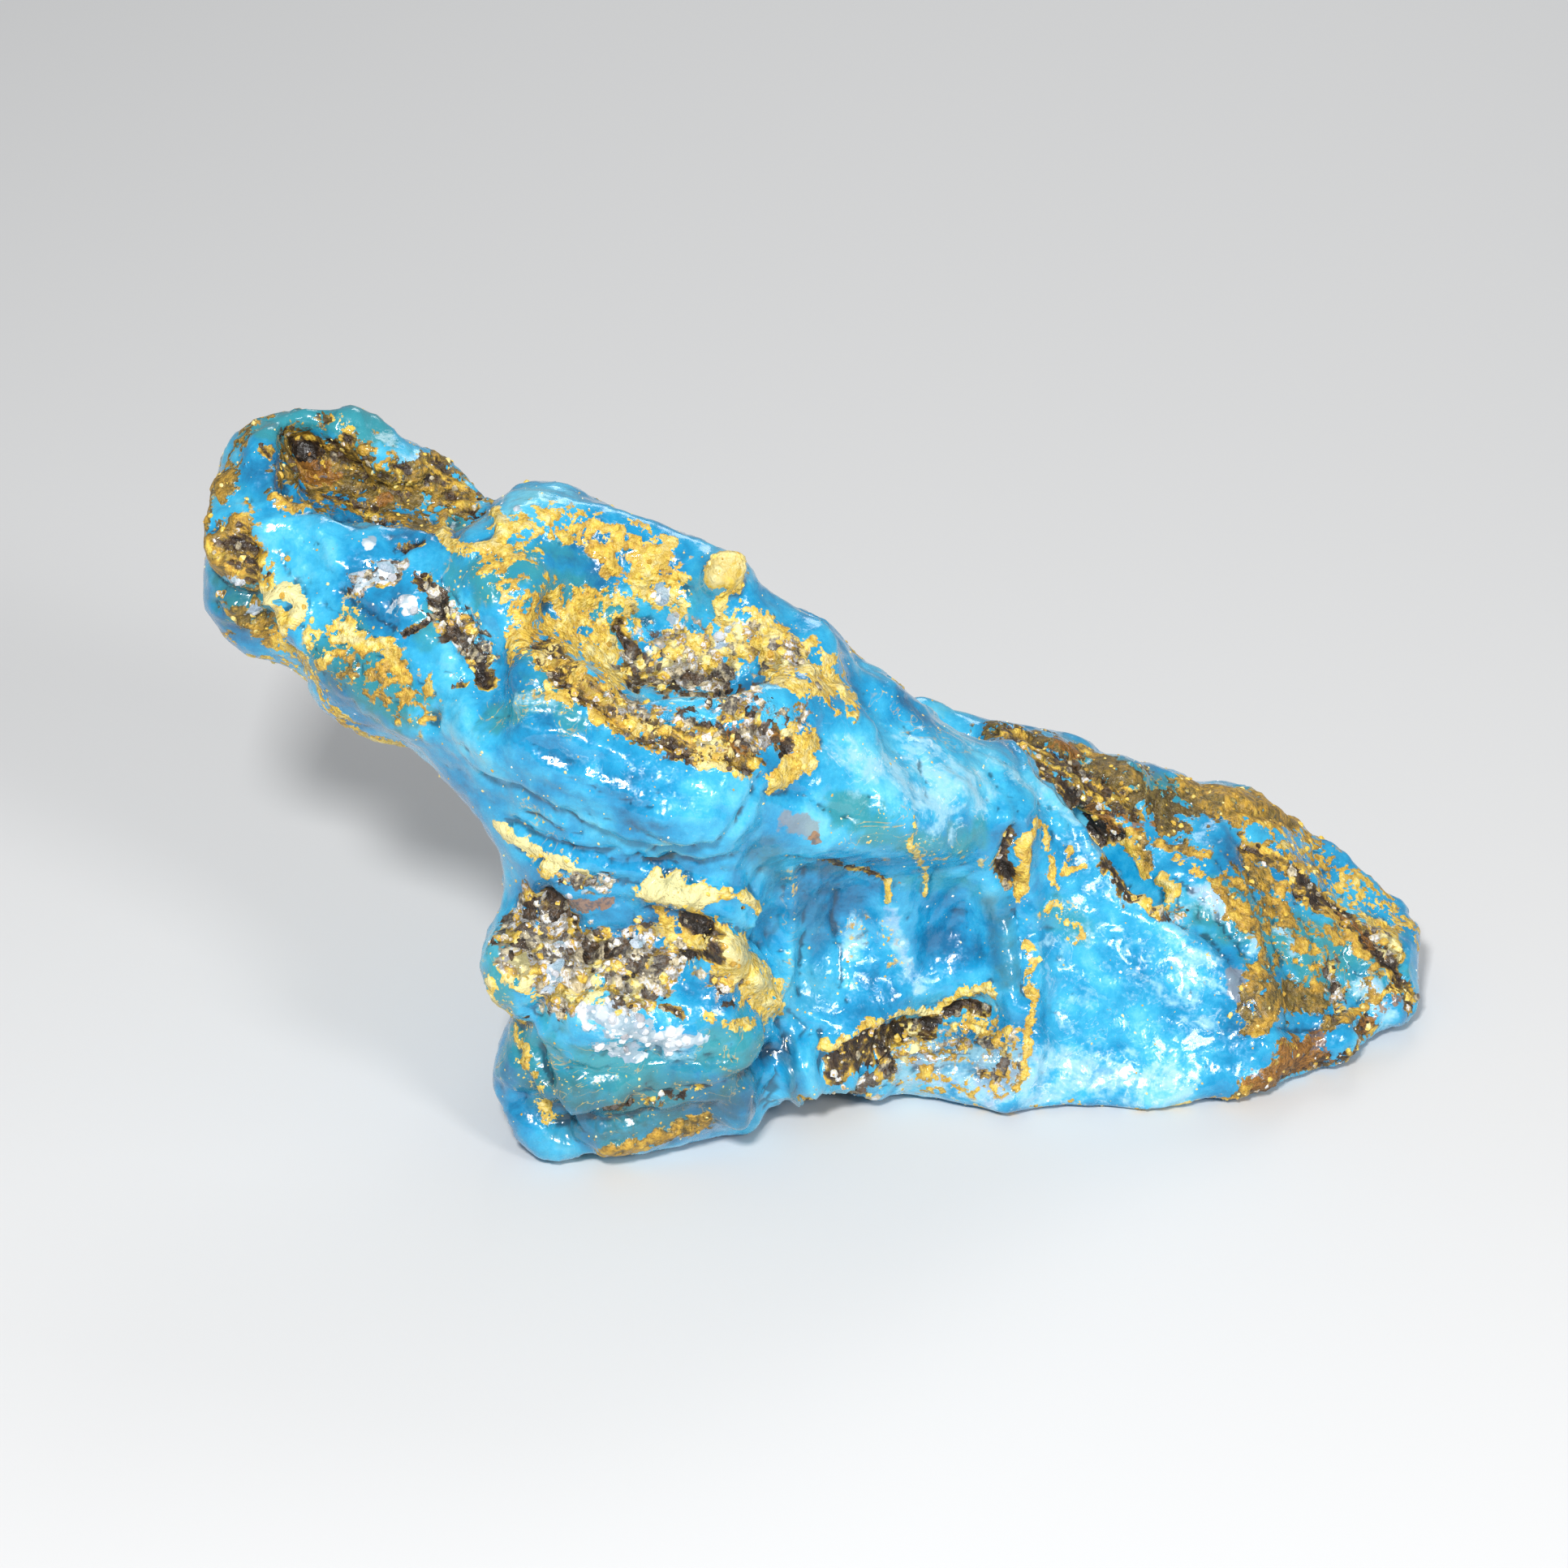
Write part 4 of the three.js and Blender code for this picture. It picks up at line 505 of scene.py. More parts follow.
        "dish hole": ([(-6.1, 5.7, 30.7)], 0.5, 0.9),
        "foot fissure": ([(-15, -2.4, 18.7), (-14, -2.8, 17.2), (-13.2, -3.3, 15.5)], 0.7, 1),
        "foot under the cream": ([(-6.3, -3.2, 18.1), (-5, -3.6, 17.1)], 0.6, 0.95),
        "foot slot": ([(-6.7, -3.5, 15.8), (-4.4, -5.4, 16)], 0.4, 1),
        "foot crack": ([(-7.7, -6.2, 13.3), (-6.5, -6.2, 12.6)], 0.34, 1),
        "foot pit": ([(-13.5, -5.9, 14.5)], 0.55, 1.2),
        "foot ring": ([(-2.7, -3, 18.7)], 0.28, 0.9),
        "foot hole": ([(-16.6, -4.8, 11.5)], 0.26, 0.95),
        "foot folds": ([(-11.4, -6.7, 5.8), (-8.3, -6.5, 6.3), (-5.2, -6.4, 6.9)], 0.5, 0.5),
        "alcove roof": ([(0.4, -0.9, 21.2), (2.7, 1.3, 19.8), (5.6, 3.6, 17.4),
            (6.5, 3.9, 16.7)], 0.28, 0.85),
        "slit": ([(15, 6.3, 18.7), (14.5, 5.8, 17), (14.9, 5.8, 14.9)], 0.5, 0.9),
        "hole": ([(10.8, 5.1, 5.9), (12.2, 4.9, 6.5), (13.6, 4, 6.4)], 0.5, 1.1),
        "under the lip": ([(3.2, -0.1, 5.4), (5.1, 0.3, 6.1), (7.3, 4.4, 4.5),
            (9.6, 4.6, 4.9)], 0.9, 0.86),
        "under the lip low": ([(1, -0.1, 3.7), (4, 3.3, 2.1), (6.7, 1.8, 3.6)], 0.8, 0.66),
        "crevice": ([(19.8, 12.9, 17.5), (21.7, 14.2, 13.9), (22.7, 8.8, 14.9),
            (23.8, 8.4, 13.8)], 0.85, 1.1),
        "crevice high": ([(15, 15.8, 20.9), (17.7, 13.6, 19.3), (19.3, 13, 18.1)], 0.9, 0.7),
        "hump": ([(15.6, 16.6, 20.8), (18.8, 14.9, 19.2), (22.8, 15, 16.3)], 1.6, 0.56),
        "hump foot": ([(20.5, 14.1, 17.4), (23.9, 14.9, 15.4)], 0.7, 0.66),
        "band": ([(35.6, 14.9, 9.7), (38.3, 15.7, 7.7), (40.2, 13, 6.2), (41.6, 12.2, 4.4),
            (42.9, 11.5, 2.7)], 1, 0.82),
        "band inner": ([(31.3, 15.9, 12.5), (33.5, 15.5, 11.3), (35.6, 15, 9.8)], 0.6, 0.7),
        "band low": ([(37, 11.1, 6), (37.7, 10.6, 3.8), (37.7, 7.5, 3.8)], 0.5, 0.66),
        "end hole": ([(38.4, 16.4, 7.6)], 0.4, 1),
        "end underside": ([(32, 2.5, 0.9), (35.8, 4.7, 1.1), (40, 8.8, 1.7)], 1, 0.66),
        "back": ([(-12, 22, 18), (-8, 23.5, 14)], 1.6, 0.7),
        "back hollow": ([(6, 25, 8), (10, 25.6, 5)], 1.4, 0.7),
        "back end": ([(30, 25.5, 5)], 1.8, 0.66),
        "underside": ([(0, 10, 0.5), (14, 13, 0.5), (34, 16, 0.5)], 2.4, 0.62),
        "head back": ([(-30, 22.6, 37), (-22, 21, 33)], 2.4, 0.5),
        "dish fibres": ([(-15.2, 2.9, 34.8), (-12.7, -1.4, 33.9), (-10.3, -2.5, 32.1),
            (-6.5, -2.6, 31.3), (-2.7, -2, 30.5)], 1.1, 0.5),
        "dish sticks": ([(-10.9, 8.3, 33.6), (-10.1, 7.8, 31.8), (-9.6, 3.7, 31.2)], 0.5, 0.8),
        "dish dark": ([(-6.1, 6, 31), (-4, 5.2, 30.2)], 0.6, 0.85),
        "dish orange": ([(-3.9, -2.1, 31), (-1.9, -0.9, 30.6), (-0.3, -0.3, 29.4)], 0.8, 0.6),
        "foot mass hole one": ([(-4.6, -5, 16.6)], 0.35, 0.9),
        "foot mass hole two": ([(-3.2, -3.6, 13.3)], 0.3, 0.9),
        "foot mass hole three": ([(-5.5, -3.2, 17.5), (-4.2, -4, 17.3)], 0.35, 0.8),
    },
    "sand": {
        "left glass one": ([(-35.7, 10.7, 35.2)], 0.42, 0.9),
        "left glass two": ([(-34.9, 10.5, 32.5)], 0.36, 0.9),
        "arm glass": ([(-26.8, 9.8, 38.7)], 0.5, 0.5),
        "gully sand": ([(-27.3, 7.9, 36.8), (-26.3, 8.1, 37.3), (-25.1, 8.1, 37.5)], 0.7, 0.62),
        "quartz": ([(-24.2, 6.2, 36.1)], 0.85, 1.2),
        "crown grain": ([(-17.2, 10.2, 40.7)], 0.42, 1.1),
        "dish grain one": ([(-8.1, 9.6, 35.5), (-8, 9.4, 34.7)], 0.34, 1.1),
        "dish grain two": ([(-7.4, 8.7, 33.6)], 0.42, 1),
        "dish grain three": ([(-4.3, 6.9, 32.9), (-3.1, 7.9, 34)], 0.4, 0.7),
        "dish gravel": ([(-8.8, 6.4, 30.9), (-6.6, 5.5, 30.7)], 0.7, 0.12),
        "foot quartz": ([(-12.6, -7.4, 13.3), (-10.8, -7.5, 12.6), (-8.7, -6.5, 11.2),
            (-6.1, -6.4, 10.7)], 1, 0.86),
        "foot quartz low": ([(-12, -7.3, 10.7), (-9.8, -5.9, 9.5)], 0.5, 0.95),
        "foot grain one": ([(-13.7, -3.3, 19.9)], 0.24, 1),
        "foot grain two": ([(-12.7, -3.6, 20.1)], 0.24, 1),
        "foot grain three": ([(-14.7, -3.4, 16)], 0.36, 1),
        "foot grain four": ([(-14.6, -4.3, 15.2), (-15.2, -5.4, 14.2)], 0.4, 0.8),
        "foot grain five": ([(-10.2, -3.3, 16.9), (-9.2, -3.6, 16.5)], 0.5, 0.62),
        "back": ([(4, 25, 10)], 1.6, 0.8),
    },
    "grit": {
        "gully": ([(-22.8, 6.6, 36.6), (-21.4, 4.8, 35.2), (-19.6, 4, 33.9)], 1, 0.6),
        "gully sand": ([(-27.3, 7.9, 36.8), (-26.3, 8.1, 37.3), (-25.1, 8.1, 37.5)], 0.8, 0.8),
        "dish gravel": ([(-9.3, 6.8, 31), (-7, 5.1, 30.8), (-4.9, 4.2, 30.6),
            (-3.2, -0.1, 32.4)], 1.9, 0.66),
        "crumbs": ([(-6.1, 7.2, 32.7), (-3.2, 7.1, 32.7), (-0.8, 6.2, 32.5),
            (1.8, 5, 32.2)], 1.6, 0.45),
        "foot": ([(-16.5, -3.7, 17), (-14.4, -4.3, 14.9), (-11.8, -3.6, 15.1),
            (-9.2, -4, 14.7)], 1.9, 1.2),
        "foot high": ([(-16.5, -1.6, 18.4), (-15.7, -2.3, 17.6)], 1, 0.7),
        "foot grey": ([(-13.9, -3.4, 20.9), (-11.8, -3.8, 20.7)], 0.8, 0.6),
        "foot middle": ([(-8.7, -4.8, 13.8), (-10.3, -6.8, 13.8)], 1, 1),
        "mound": ([(7.9, 2.2, 4), (10.5, 3.2, 4.6), (13.2, 2.7, 4.9), (14.6, 1.1, 4)], 1.5, 0.36),
        "under the lip": ([(7.3, 1.5, 3.1), (5.1, 1.9, 2.3)], 1, 0.5),
        "crevice ring": ([(25.3, 7.5, 11.9), (26.8, 9.1, 10.8)], 0.6, 0.6),
        "end strip": ([(37.3, 11.1, 5.5), (37.7, 9.1, 3.5)], 0.8, 0.6),
        "cream patch": ([(40.3, 15.1, 6.9), (41.7, 13.5, 5.6)], 0.8, 0.5),
        "back": ([(-5, 24, 14)], 2.2, 0.7),
        "back right": ([(13, 25.6, 9), (16, 25.6, 6)], 1.6, 0.7),
        "underside": ([(-8, 5, 0.5)], 2, 0.7),
        "underside far": ([(8, 9, 0.5), (12, 10, 0.5)], 2, 0.7),
        "dish wide": ([(-8.8, 8.1, 32.8), (-6.6, 7, 32.2), (-4.5, 6, 31.6),
            (-1.9, 0.8, 32.6)], 1.6, 0.5),
        "dish low": ([(-10.6, -0.8, 33.5), (-7.5, -1.7, 32.2), (-4.4, -2, 31.2),
            (-1.3, -0.7, 30.2)], 1, 0.55),
        "crumbs low": ([(-1.9, 0.3, 32.3), (1, 1.3, 30.6)], 1.1, 0.5),
        "foot left": ([(-17.2, -2.1, 17.4), (-16, -4.8, 16), (-13.9, -6.3, 13.9)], 1.3, 0.7),
        "foot right": ([(-7.2, -3.7, 15.3), (-5, -4.7, 14.7), (-3.5, -5, 13)], 0.8, 0.4),
    },
    "rust": {
        "bowl": ([(-32.1, 18.9, 38.7), (-30.4, 19.2, 38.8)], 0.9, 1),
        "tongue": ([(-26.3, 17, 38)], 0.4, 1),
        "strata": ([(-2.1, -1.1, 30.7), (-2.6, -2.1, 30.4)], 0.7, 0.9),
        "foot": ([(-13.9, -3.1, 19), (-11.6, -3.3, 19.1)], 0.55, 0.95),
        "brow tip": ([(2.2, -1.3, 22.5), (2, -1.4, 23.1)], 0.36, 1),
        "under the lip": ([(5.8, 2.5, 4)], 0.45, 0.8),
        "hump": ([(18.4, 18.3, 18.9), (19.6, 18.3, 17.9)], 0.8, 0.7),
        "hump edge": ([(22.7, 13.9, 15.4), (25, 14.7, 14.4)], 0.4, 0.7),
        "crevice": ([(21, 13.6, 16.1), (22.3, 13.7, 14.8)], 0.5, 0.8),
        "band": ([(38.6, 14.9, 7.7), (40.2, 13, 6.2)], 0.4, 0.9),
        "underside": ([(32.4, 2.7, 1.7), (34.1, 3.9, 2.1), (35.8, 5.3, 2)], 1.4, 0.8),
        "underside far": ([(39.4, 8.6, 1.9), (41.8, 10.6, 3.1)], 0.6, 0.8),
        "gully": ([(-24.4, 4.6, 34.4)], 0.3, 0.6),
        "back": ([(20, 26, 5)], 3, 0.6),
        "dish orange": ([(-3.4, -2, 30.9), (-0.8, -0.5, 29.9)], 0.8, 0.75),
    },
    "rose": {
        "brow": ([(0.5, -1.9, 24.6), (1.3, -1.6, 24.3), (1.8, -1.4, 23.7)], 0.85, 1),
        "end": ([(30.1, 5.8, 8.1), (30.6, 5.1, 7.1)], 0.8, 0.9),
        "crest": ([(21.7, 15.8, 17.4)], 0.3, 0.3),
    },
    "teal": {
        "end wash": ([(30, 10, 10), (34, 10, 7), (38, 12, 5.5), (41, 13, 4.5)], 3.2, 0.7),
        "head top": ([(-34, 18.7, 43.2), (-30.7, 19.5, 43.3), (-28.1, 19.8, 42.9),
            (-26.1, 19.2, 42.5)], 1.6, 1.1),
        "left end": ([(-36.2, 11.2, 33.6), (-35.4, 10.1, 31.7)], 2, 0.9),
        "crown pocket": ([(-21.7, 15.9, 36.6)], 0.7, 1),
        "crown gap": ([(-14.6, 8.4, 38), (-12.9, 8.6, 37.2)], 1.2, 0.6),
        "gully side": ([(-23.3, 4.4, 34.7), (-21.3, 7.5, 37.9), (-19.1, 5.3, 37.9)], 1.1, 0.7),
        "ledge left": ([(-18.4, -0.4, 30.8), (-16.7, -1.8, 33.1), (-14.6, -1.7, 33.3),
            (-13.4, -2.6, 32.6)], 1.3, 0.9),
        "arm": ([(-28.6, 4.9, 32.2), (-26, 3.2, 30.7)], 2.6, 0.8),
        "foot chip": ([(-6.4, -3.3, 16.4)], 0.24, 1),
        "foot": ([(-17.3, -3.4, 8.2), (-13, -6.4, 7.6), (-7.7, -6, 8),
            (-3.5, -6.1, 9.3)], 3.4, 0.82),
        "foot left": ([(-17.9, -4.5, 15.8), (-18.3, -3.9, 11.7)], 1.4, 0.7),
        "brow": ([(3.9, -0.1, 24.2), (6.5, 0.4, 22.1), (9.7, 2, 20.5), (13, 5, 19.3)], 1.2, 0.8),
        "facet dust": ([(17.6, 6.7, 12.6), (19.7, 6.3, 11)], 1.4, 0.5),
        "hump": ([(20.2, 18.8, 17.6), (23.9, 16.4, 17.1), (32.7, 21.4, 12.5)], 1.6, 0.8),
        "end cells": ([(34.9, 9.6, 6.4), (35.4, 8.9, 4.9)], 0.8, 0.8),
        "back": ([(-10, 20, 24), (10, 24, 12)], 7, 0.6),
        "trough left": ([(-16.9, 2.1, 34.9), (-14.2, -1.3, 33.8)], 1.5, 0.7),
        "hump dust": ([(-17, 5.8, 38.8), (-14, 7.6, 36.7), (-11.9, 8.2, 34)], 1.8, 0.75),
        "foot low": ([(-14.1, -6.9, 5.4), (-8.8, -5.7, 4.7), (-3.5, -6.3, 6.9)], 2, 0.6),
        "alcove": ([(6.6, 3.9, 16.6), (9.9, 5.5, 15.3), (12.6, 6.3, 14.8)], 1, 0.5),
    },
    "pale": {
        "facet wash": ([(19, 5.5, 10), (22, 5.6, 8.4), (25, 4.8, 6.4), (20, 4, 6)], 2.6, 0.42),
        "slope": ([(3.9, 2.3, 27.3), (7.1, 3, 25.1), (10.4, 3.3, 22.1), (9.3, 7.2, 25.1),
            (12.8, 6.3, 22.6)], 1.9, 0.75),
        "crest": ([(11.5, 10.6, 23.8), (15.3, 9.5, 21.6), (18.7, 10.2, 18.1), (20.6, 8.8, 15.2),
            (22.9, 7.8, 13.1)], 1, 0.55),
        "facet low": ([(15.7, 0.5, 3.1), (19.2, 2, 2.5), (22.5, 1.9, 1.9),
            (25.9, 1.7, 1.6)], 2.2, 0.8),
        "facet corner": ([(17.3, 2.1, 4.7), (18.1, 2.1, 2.7)], 1.2, 0.7),
        "facet right": ([(25.8, 6.9, 10.6), (27.4, 6.3, 9.1), (27.9, 4.6, 6.3)], 1.6, 0.6),
        "lilac cell": ([(27.9, 10.6, 11.6), (29.6, 10.1, 10.9)], 0.9, 1.1),
        "lilac cell two": ([(31.4, 8.9, 9.4), (31.7, 8, 8.3)], 0.6, 0.9),
        "lilac cell three": ([(33.8, 10.9, 8.2), (34.7, 10.2, 7.3)], 0.6, 0.9),
        "end right": ([(40.1, 11, 3.6), (40.7, 10.3, 2.7)], 1.2, 0.9),
        "foot shelf": ([(-13.3, -7, 13.6), (-9.3, -6.2, 10.4), (-5.6, -5.9, 9.8)], 1.1, 0.5),
        "curls": ([(7, 3.8, 14.4), (7.8, 4.1, 11.1), (9, 3.7, 8.5)], 0.8, 0.85),
        "curls left": ([(4.3, 3.9, 11.1), (5.2, 4.7, 13)], 0.8, 0.7),
        "ledge top": ([(-13.7, -3.7, 30.7), (-10.6, -4.9, 29.3), (-7.5, -5.5, 28.2)], 0.6, 0.4),
        "ledge left": ([(-16.8, -1.9, 33), (-14.2, -2, 33)], 0.9, 0.5),
        "head right": ([(-24.2, 17.3, 41.6), (-22.6, 18.6, 40.4)], 0.8, 0.9),
        "underside": ([(7.4, 2.1, 0.7), (11.6, 1.2, 0.9)], 0.6, 0.6),
        "back": ([(16, 24, 10), (30, 24.6, 7)], 3, 0.6),
        "mound": ([(8.4, 1.9, 3.5), (11.6, 1.2, 3.3), (14.8, 0.6, 3.1)], 2.2, 1),
    },
    # Partly the amber's own deeper blue, partly painted shade in the alcove and under the ledge.
    "deep": {
        "ledge": ([(-13.7, -4.2, 28.9), (-9.6, -5.5, 27.9), (-5.5, -6, 26.4)], 1.8, 0.6),
        "ledge below": ([(-14.4, -2.7, 23.8), (-11.8, -3.6, 23.2), (-8.7, -3.4, 22.2)], 1.2, 0.8),
        "alcove left": ([(1.8, 2.3, 17.2), (2.4, 3.8, 12.5)], 1.5, 1),
        "alcove middle": ([(4.5, 4.4, 15.3), (5.1, 4.7, 14.2)], 1.2, 0.9),
        "alcove right": ([(11.1, 7.3, 12.3), (12.1, 5.2, 9.8)], 1.6, 1.1),
        "head": ([(-33.7, 14.8, 42.5), (-34.2, 13.6, 40.7)], 2, 1),
        "arm": ([(-28.1, 7.2, 35.7), (-26, 5.5, 34.8)], 1.6, 1),
        "foot cell": ([(-4.2, -5.8, 13.1)], 0.8, 0.9),
        "gully low": ([(-20.6, 2.5, 32.9), (-19, 0.7, 31.5)], 1, 0.6),
        "back": ([(-4, 20, 20)], 4, 0.6),
        "alcove right wall": ([(9.9, 5.5, 12.8), (11.6, 5.8, 10), (12.1, 4.2, 8.5)], 1.4, 0.9),
    },
    # Painted shade: where these lie, the wax is darkened towards a dark teal.
    "dim": {
        "left end": ([(-37, 13, 35), (-35.6, 10.6, 33)], 2.2, 0.42),
        "arm low": ([(-29, 6, 31), (-25, 4, 29)], 2.2, 0.34),
        "alcove left": ([(1.4, 2.4, 16), (2, 3.4, 12), (1.4, 1.5, 9)], 1.5, 0.3),
        "foot low": ([(-14.5, -6.5, 4), (-8.8, -5.7, 4.2), (-3.5, -6, 5.5)], 2.8, 0.78),
        "mound": ([(8.4, 2, 4), (12, 2.5, 4.6), (14, 1, 4)], 1.8, 0.55),
        "alcove corner": ([(13.8, 5.8, 13.7), (14.5, 4.9, 11.7), (14.8, 3.6, 9.7)], 1.1, 0.75),
        "alcove roof": ([(0.7, 1.1, 19.4), (3.9, 2.4, 18.3)], 0.7, 0.7),
        "brow left": ([(-1.4, -2, 22.8), (-0.3, 1, 18.6)], 0.9, 0.7),
        "seam": ([(-0.1, -0.3, 6.9), (-0.4, -0.3, 3)], 0.6, 0.7),
    },
    "vein": {
        "ledge left": ([(-18.4, -0.3, 30.9), (-16.7, -1.8, 33.1), (-14.6, -1.7, 33.3),
            (-13.4, -2.6, 32.6)], 1.3, 0.7),
        "foot": ([(-17.3, -3.4, 8.2), (-13, -6.4, 7.6), (-7.7, -6.2, 7.5),
            (-3.5, -6.1, 9.3)], 3.4, 0.55),
        "foot left": ([(-18.4, -4.6, 14.6), (-17.3, -3.4, 8.2), (-16.2, -6, 6.1)], 1.2, 1),
        "ridges": (LIPS["ridge left"][0], 0.5, 0.9),
        "curls": ([(4.3, 3.9, 11.1), (5.2, 4.7, 13), (6.8, 4, 12.4), (7.8, 4, 10.5)], 0.9, 0.5),
        "brow": ([(3.9, -0.7, 22.7), (8.1, 1.1, 22.2), (10.3, 3, 18.7)], 1.2, 0.6),
        "facet": ([(18.1, 5.5, 9.6), (23.6, 6, 9.3), (25.8, 4.5, 6.3)], 1.6, 0.1),
        "facet right": ([(26.9, 6.9, 10.6), (28, 5.7, 8.2)], 1.2, 0.4),
        "end": ([(32.6, 10.1, 8.7), (37.3, 12.8, 7), (40.1, 11.6, 4.5)], 2.4, 0.7),
        "slope": ([(7.2, 9, 26.2), (11.5, 9.1, 23.8)], 1.4, 0.5),
        "neck": ([(-17, -1.2, 26), (-13.9, -3, 22.2)], 1.2, 0.5),
        "gully": ([(-21.3, 7.5, 37.9), (-19.1, 5.3, 37.9)], 1.2, 0.5),
        "back": ([(-10, 20, 24), (10, 24, 12), (30, 25, 6)], 6, 0.45),
    },
    "dull": {
        "crown": ([(-19, 8, 39.2), (-15, 9, 39.5), (-11, 10, 37.6)], 2.4, 0.22),
        "nugget": (KNOBS["nugget"][0], 1.4, 0.3),
        "mound": ([(8.4, 2, 4), (12, 2.5, 4.6), (14, 1, 4)], 1.8, 0.8),
        "end wash": ([(31, 12, 11), (36, 11, 6.8), (40, 13, 5.8)], 3, 0.8),
        "head": ([(-33.2, 14.6, 42.5), (-28.3, 19.8, 39.4), (-22.4, 18.4, 38.3)], 3.6, 1.35),
        "tongue": ([(-32.6, 13.3, 40.5), (-27.4, 17, 37.8), (-23.1, 15.5, 36.6)], 1.2, 1),
        "left end": ([(-37.1, 15.4, 40.7), (-37.4, 13.1, 38.5), (-35.7, 10.7, 37.4),
            (-35.4, 10.1, 31.7)], 2, 1.2),
        "arm": ([(-27.6, 4.5, 32.1), (-24.4, 2.9, 30.8)], 1.6, 0.9),
        "trough": ([(-17, 5.6, 38.6), (-14.4, 3.7, 34), (-11.5, -2.1, 33)], 1, 0.6),
        "foot underside": ([(-11.9, -6.2, 1.6), (-8.8, -5.9, 2.4), (-5.7, -5.1, 3.1)], 1.2, 1),
        "hump": ([(14.6, 17.2, 20.9), (17.8, 16.9, 19.3), (21.1, 16.5, 17.6),
            (26.3, 16.3, 14.4)], 3.2, 1.6),
        "far hump": ([(28.6, 19, 14.6), (31.7, 18.8, 13.9), (35.4, 23, 9.6)], 1.8, 1.3),
        "end": ([(31.6, 15.7, 11.4), (32.3, 8.7, 8.2), (37.4, 13.3, 7.3)], 2.2, 0.9),
        "end patch": ([(31.2, 4.7, 5.6), (33.3, 6.6, 6.2), (36, 8.5, 4.6)], 1.8, 1.25),
        "end underside": ([(31.4, 2.4, 0.9), (35, 4.9, 2.5), (40, 9.3, 2)], 2.2, 1),
        "slit": ([(16.1, 6.2, 16.9), (15.7, 5.8, 14.5)], 0.8, 0.5),
        "back": ([(-12, 21, 22), (2, 25, 12), (20, 26, 7), (36, 24, 4)], 7, 0.6),
        "underside": ([(-8, 8, 0.5), (10, 12, 1), (30, 14, 1)], 8, 0.8),
    },
    "cream": {
        "left curl": ([(-33.3, 9.1, 34.8), (-32.4, 8.8, 35.6), (-31.4, 8.3, 35.2),
            (-31.3, 7.8, 34.6)], 0.6, 1),
        "nugget": (KNOBS["nugget"][0], 1.2, 0.1),
        "under the nugget": ([(-3.1, 7.9, 34)], 0.5, 1),
        "neck": ([(-18.6, 0.1, 23), (-17.1, -1, 22.4), (-14.4, -2.9, 22),
            (-12.7, -3.6, 21.4)], 0.7, 1),
        "foot": ([(-8.6, -3.2, 20.5), (-7, -3.4, 20.3), (-5.3, -3.8, 20)], 0.8, 1.3),
        "foot mass": ([(-5.1, -3.5, 17), (-3.5, -5.1, 16.7), (-2.4, -2.8, 13.4),
            (-1.3, -1.3, 10.5)], 1.3, 0.05),
        "mound": ([(10.6, 4.2, 4.9), (13.5, 3.4, 5.6), (14.6, 1.6, 5)], 1.2, 0.3),
        "end": ([(40.4, 15.6, 6.9), (41.8, 13.4, 5.4)], 0.8, 0.5),
        "lip": ([(7.5, 2.1, 7.2), (10, 5.2, 5.7)], 0.5, 0.6),
        "mound low": ([(10, 2.1, 4.1), (12.7, 1.2, 3.3), (14.6, 0.6, 3.1)], 1.3, 0.2),
        "foot gravel": ([(-16, -5, 15.5), (-12.9, -6.2, 14.4), (-8.7, -6.2, 13.7)], 1.6, 1.1),
    },
    "bare": {
        "crown gap": ([(-14.6, 8.4, 38), (-12.7, 8.7, 37.2)], 0.85, 0.8),
        "dish pocket": ([(-5.7, 8.5, 35.7), (-5.7, 8.1, 33.5)], 0.8, 0.9),
        "dish left": ([(-19.1, 4.3, 36.1), (-19.6, 5, 37.2)], 0.9, 0.8),
        "dish middle": ([(-10.4, 8, 32.3), (-10.6, 8.3, 33.3)], 0.5, 0.7),
        "crumbs": ([(-2.2, 6, 31.5), (-1.9, 1.3, 32.7)], 0.6, 0.8),
        "crown pocket": ([(-21.7, 15.9, 36.6)], 0.55, 1),
        "head rim": ([(-32.9, 15.6, 43.2), (-34.8, 14.5, 41.4), (-33.7, 13.5, 40.7)], 1, 0.8),
        "head top": ([(-34.4, 16.4, 42.9), (-32.4, 18.2, 43.6), (-29.4, 19.6, 43.5),
            (-26.6, 19.6, 42.8), (-24.6, 18.8, 41.8)], 0.9, 0.8),
    },
}


# ---- Settings that a user would change ----


def colour(name, description, default):
    return FloatVectorProperty(
        name=name, description=description, default=default, subtype="COLOR", min=0, max=1
    )


def length(name, description, millimetres):
    metres = millimetres * MM
    return FloatProperty(
        name=name, description=description, default=metres, unit="LENGTH", precision=5
    )


def amount(name, description, default, **more):
    return FloatProperty(name=name, description=description, default=default, **more)


class SkinSettings(bpy.types.PropertyGroup):
    cell: length("Mesh cell", "Size of the cells that the skin is meshed with", 0.345)
    melt: length("Wax ripples", "Height of the soft ripples on the bare amber", 0.8)
    pleat: length("Pleats", "Depth of the fine pleats in the bare amber", 0.10)
    crust: length("Crust height", "How far the crust stands off the amber", 0.16)
    crumble: length("Crust lumps", "Height of the lumps in the crust", 0.5)
    soil: length("Soil depth", "How far the soil lies back from the amber", 0.22)


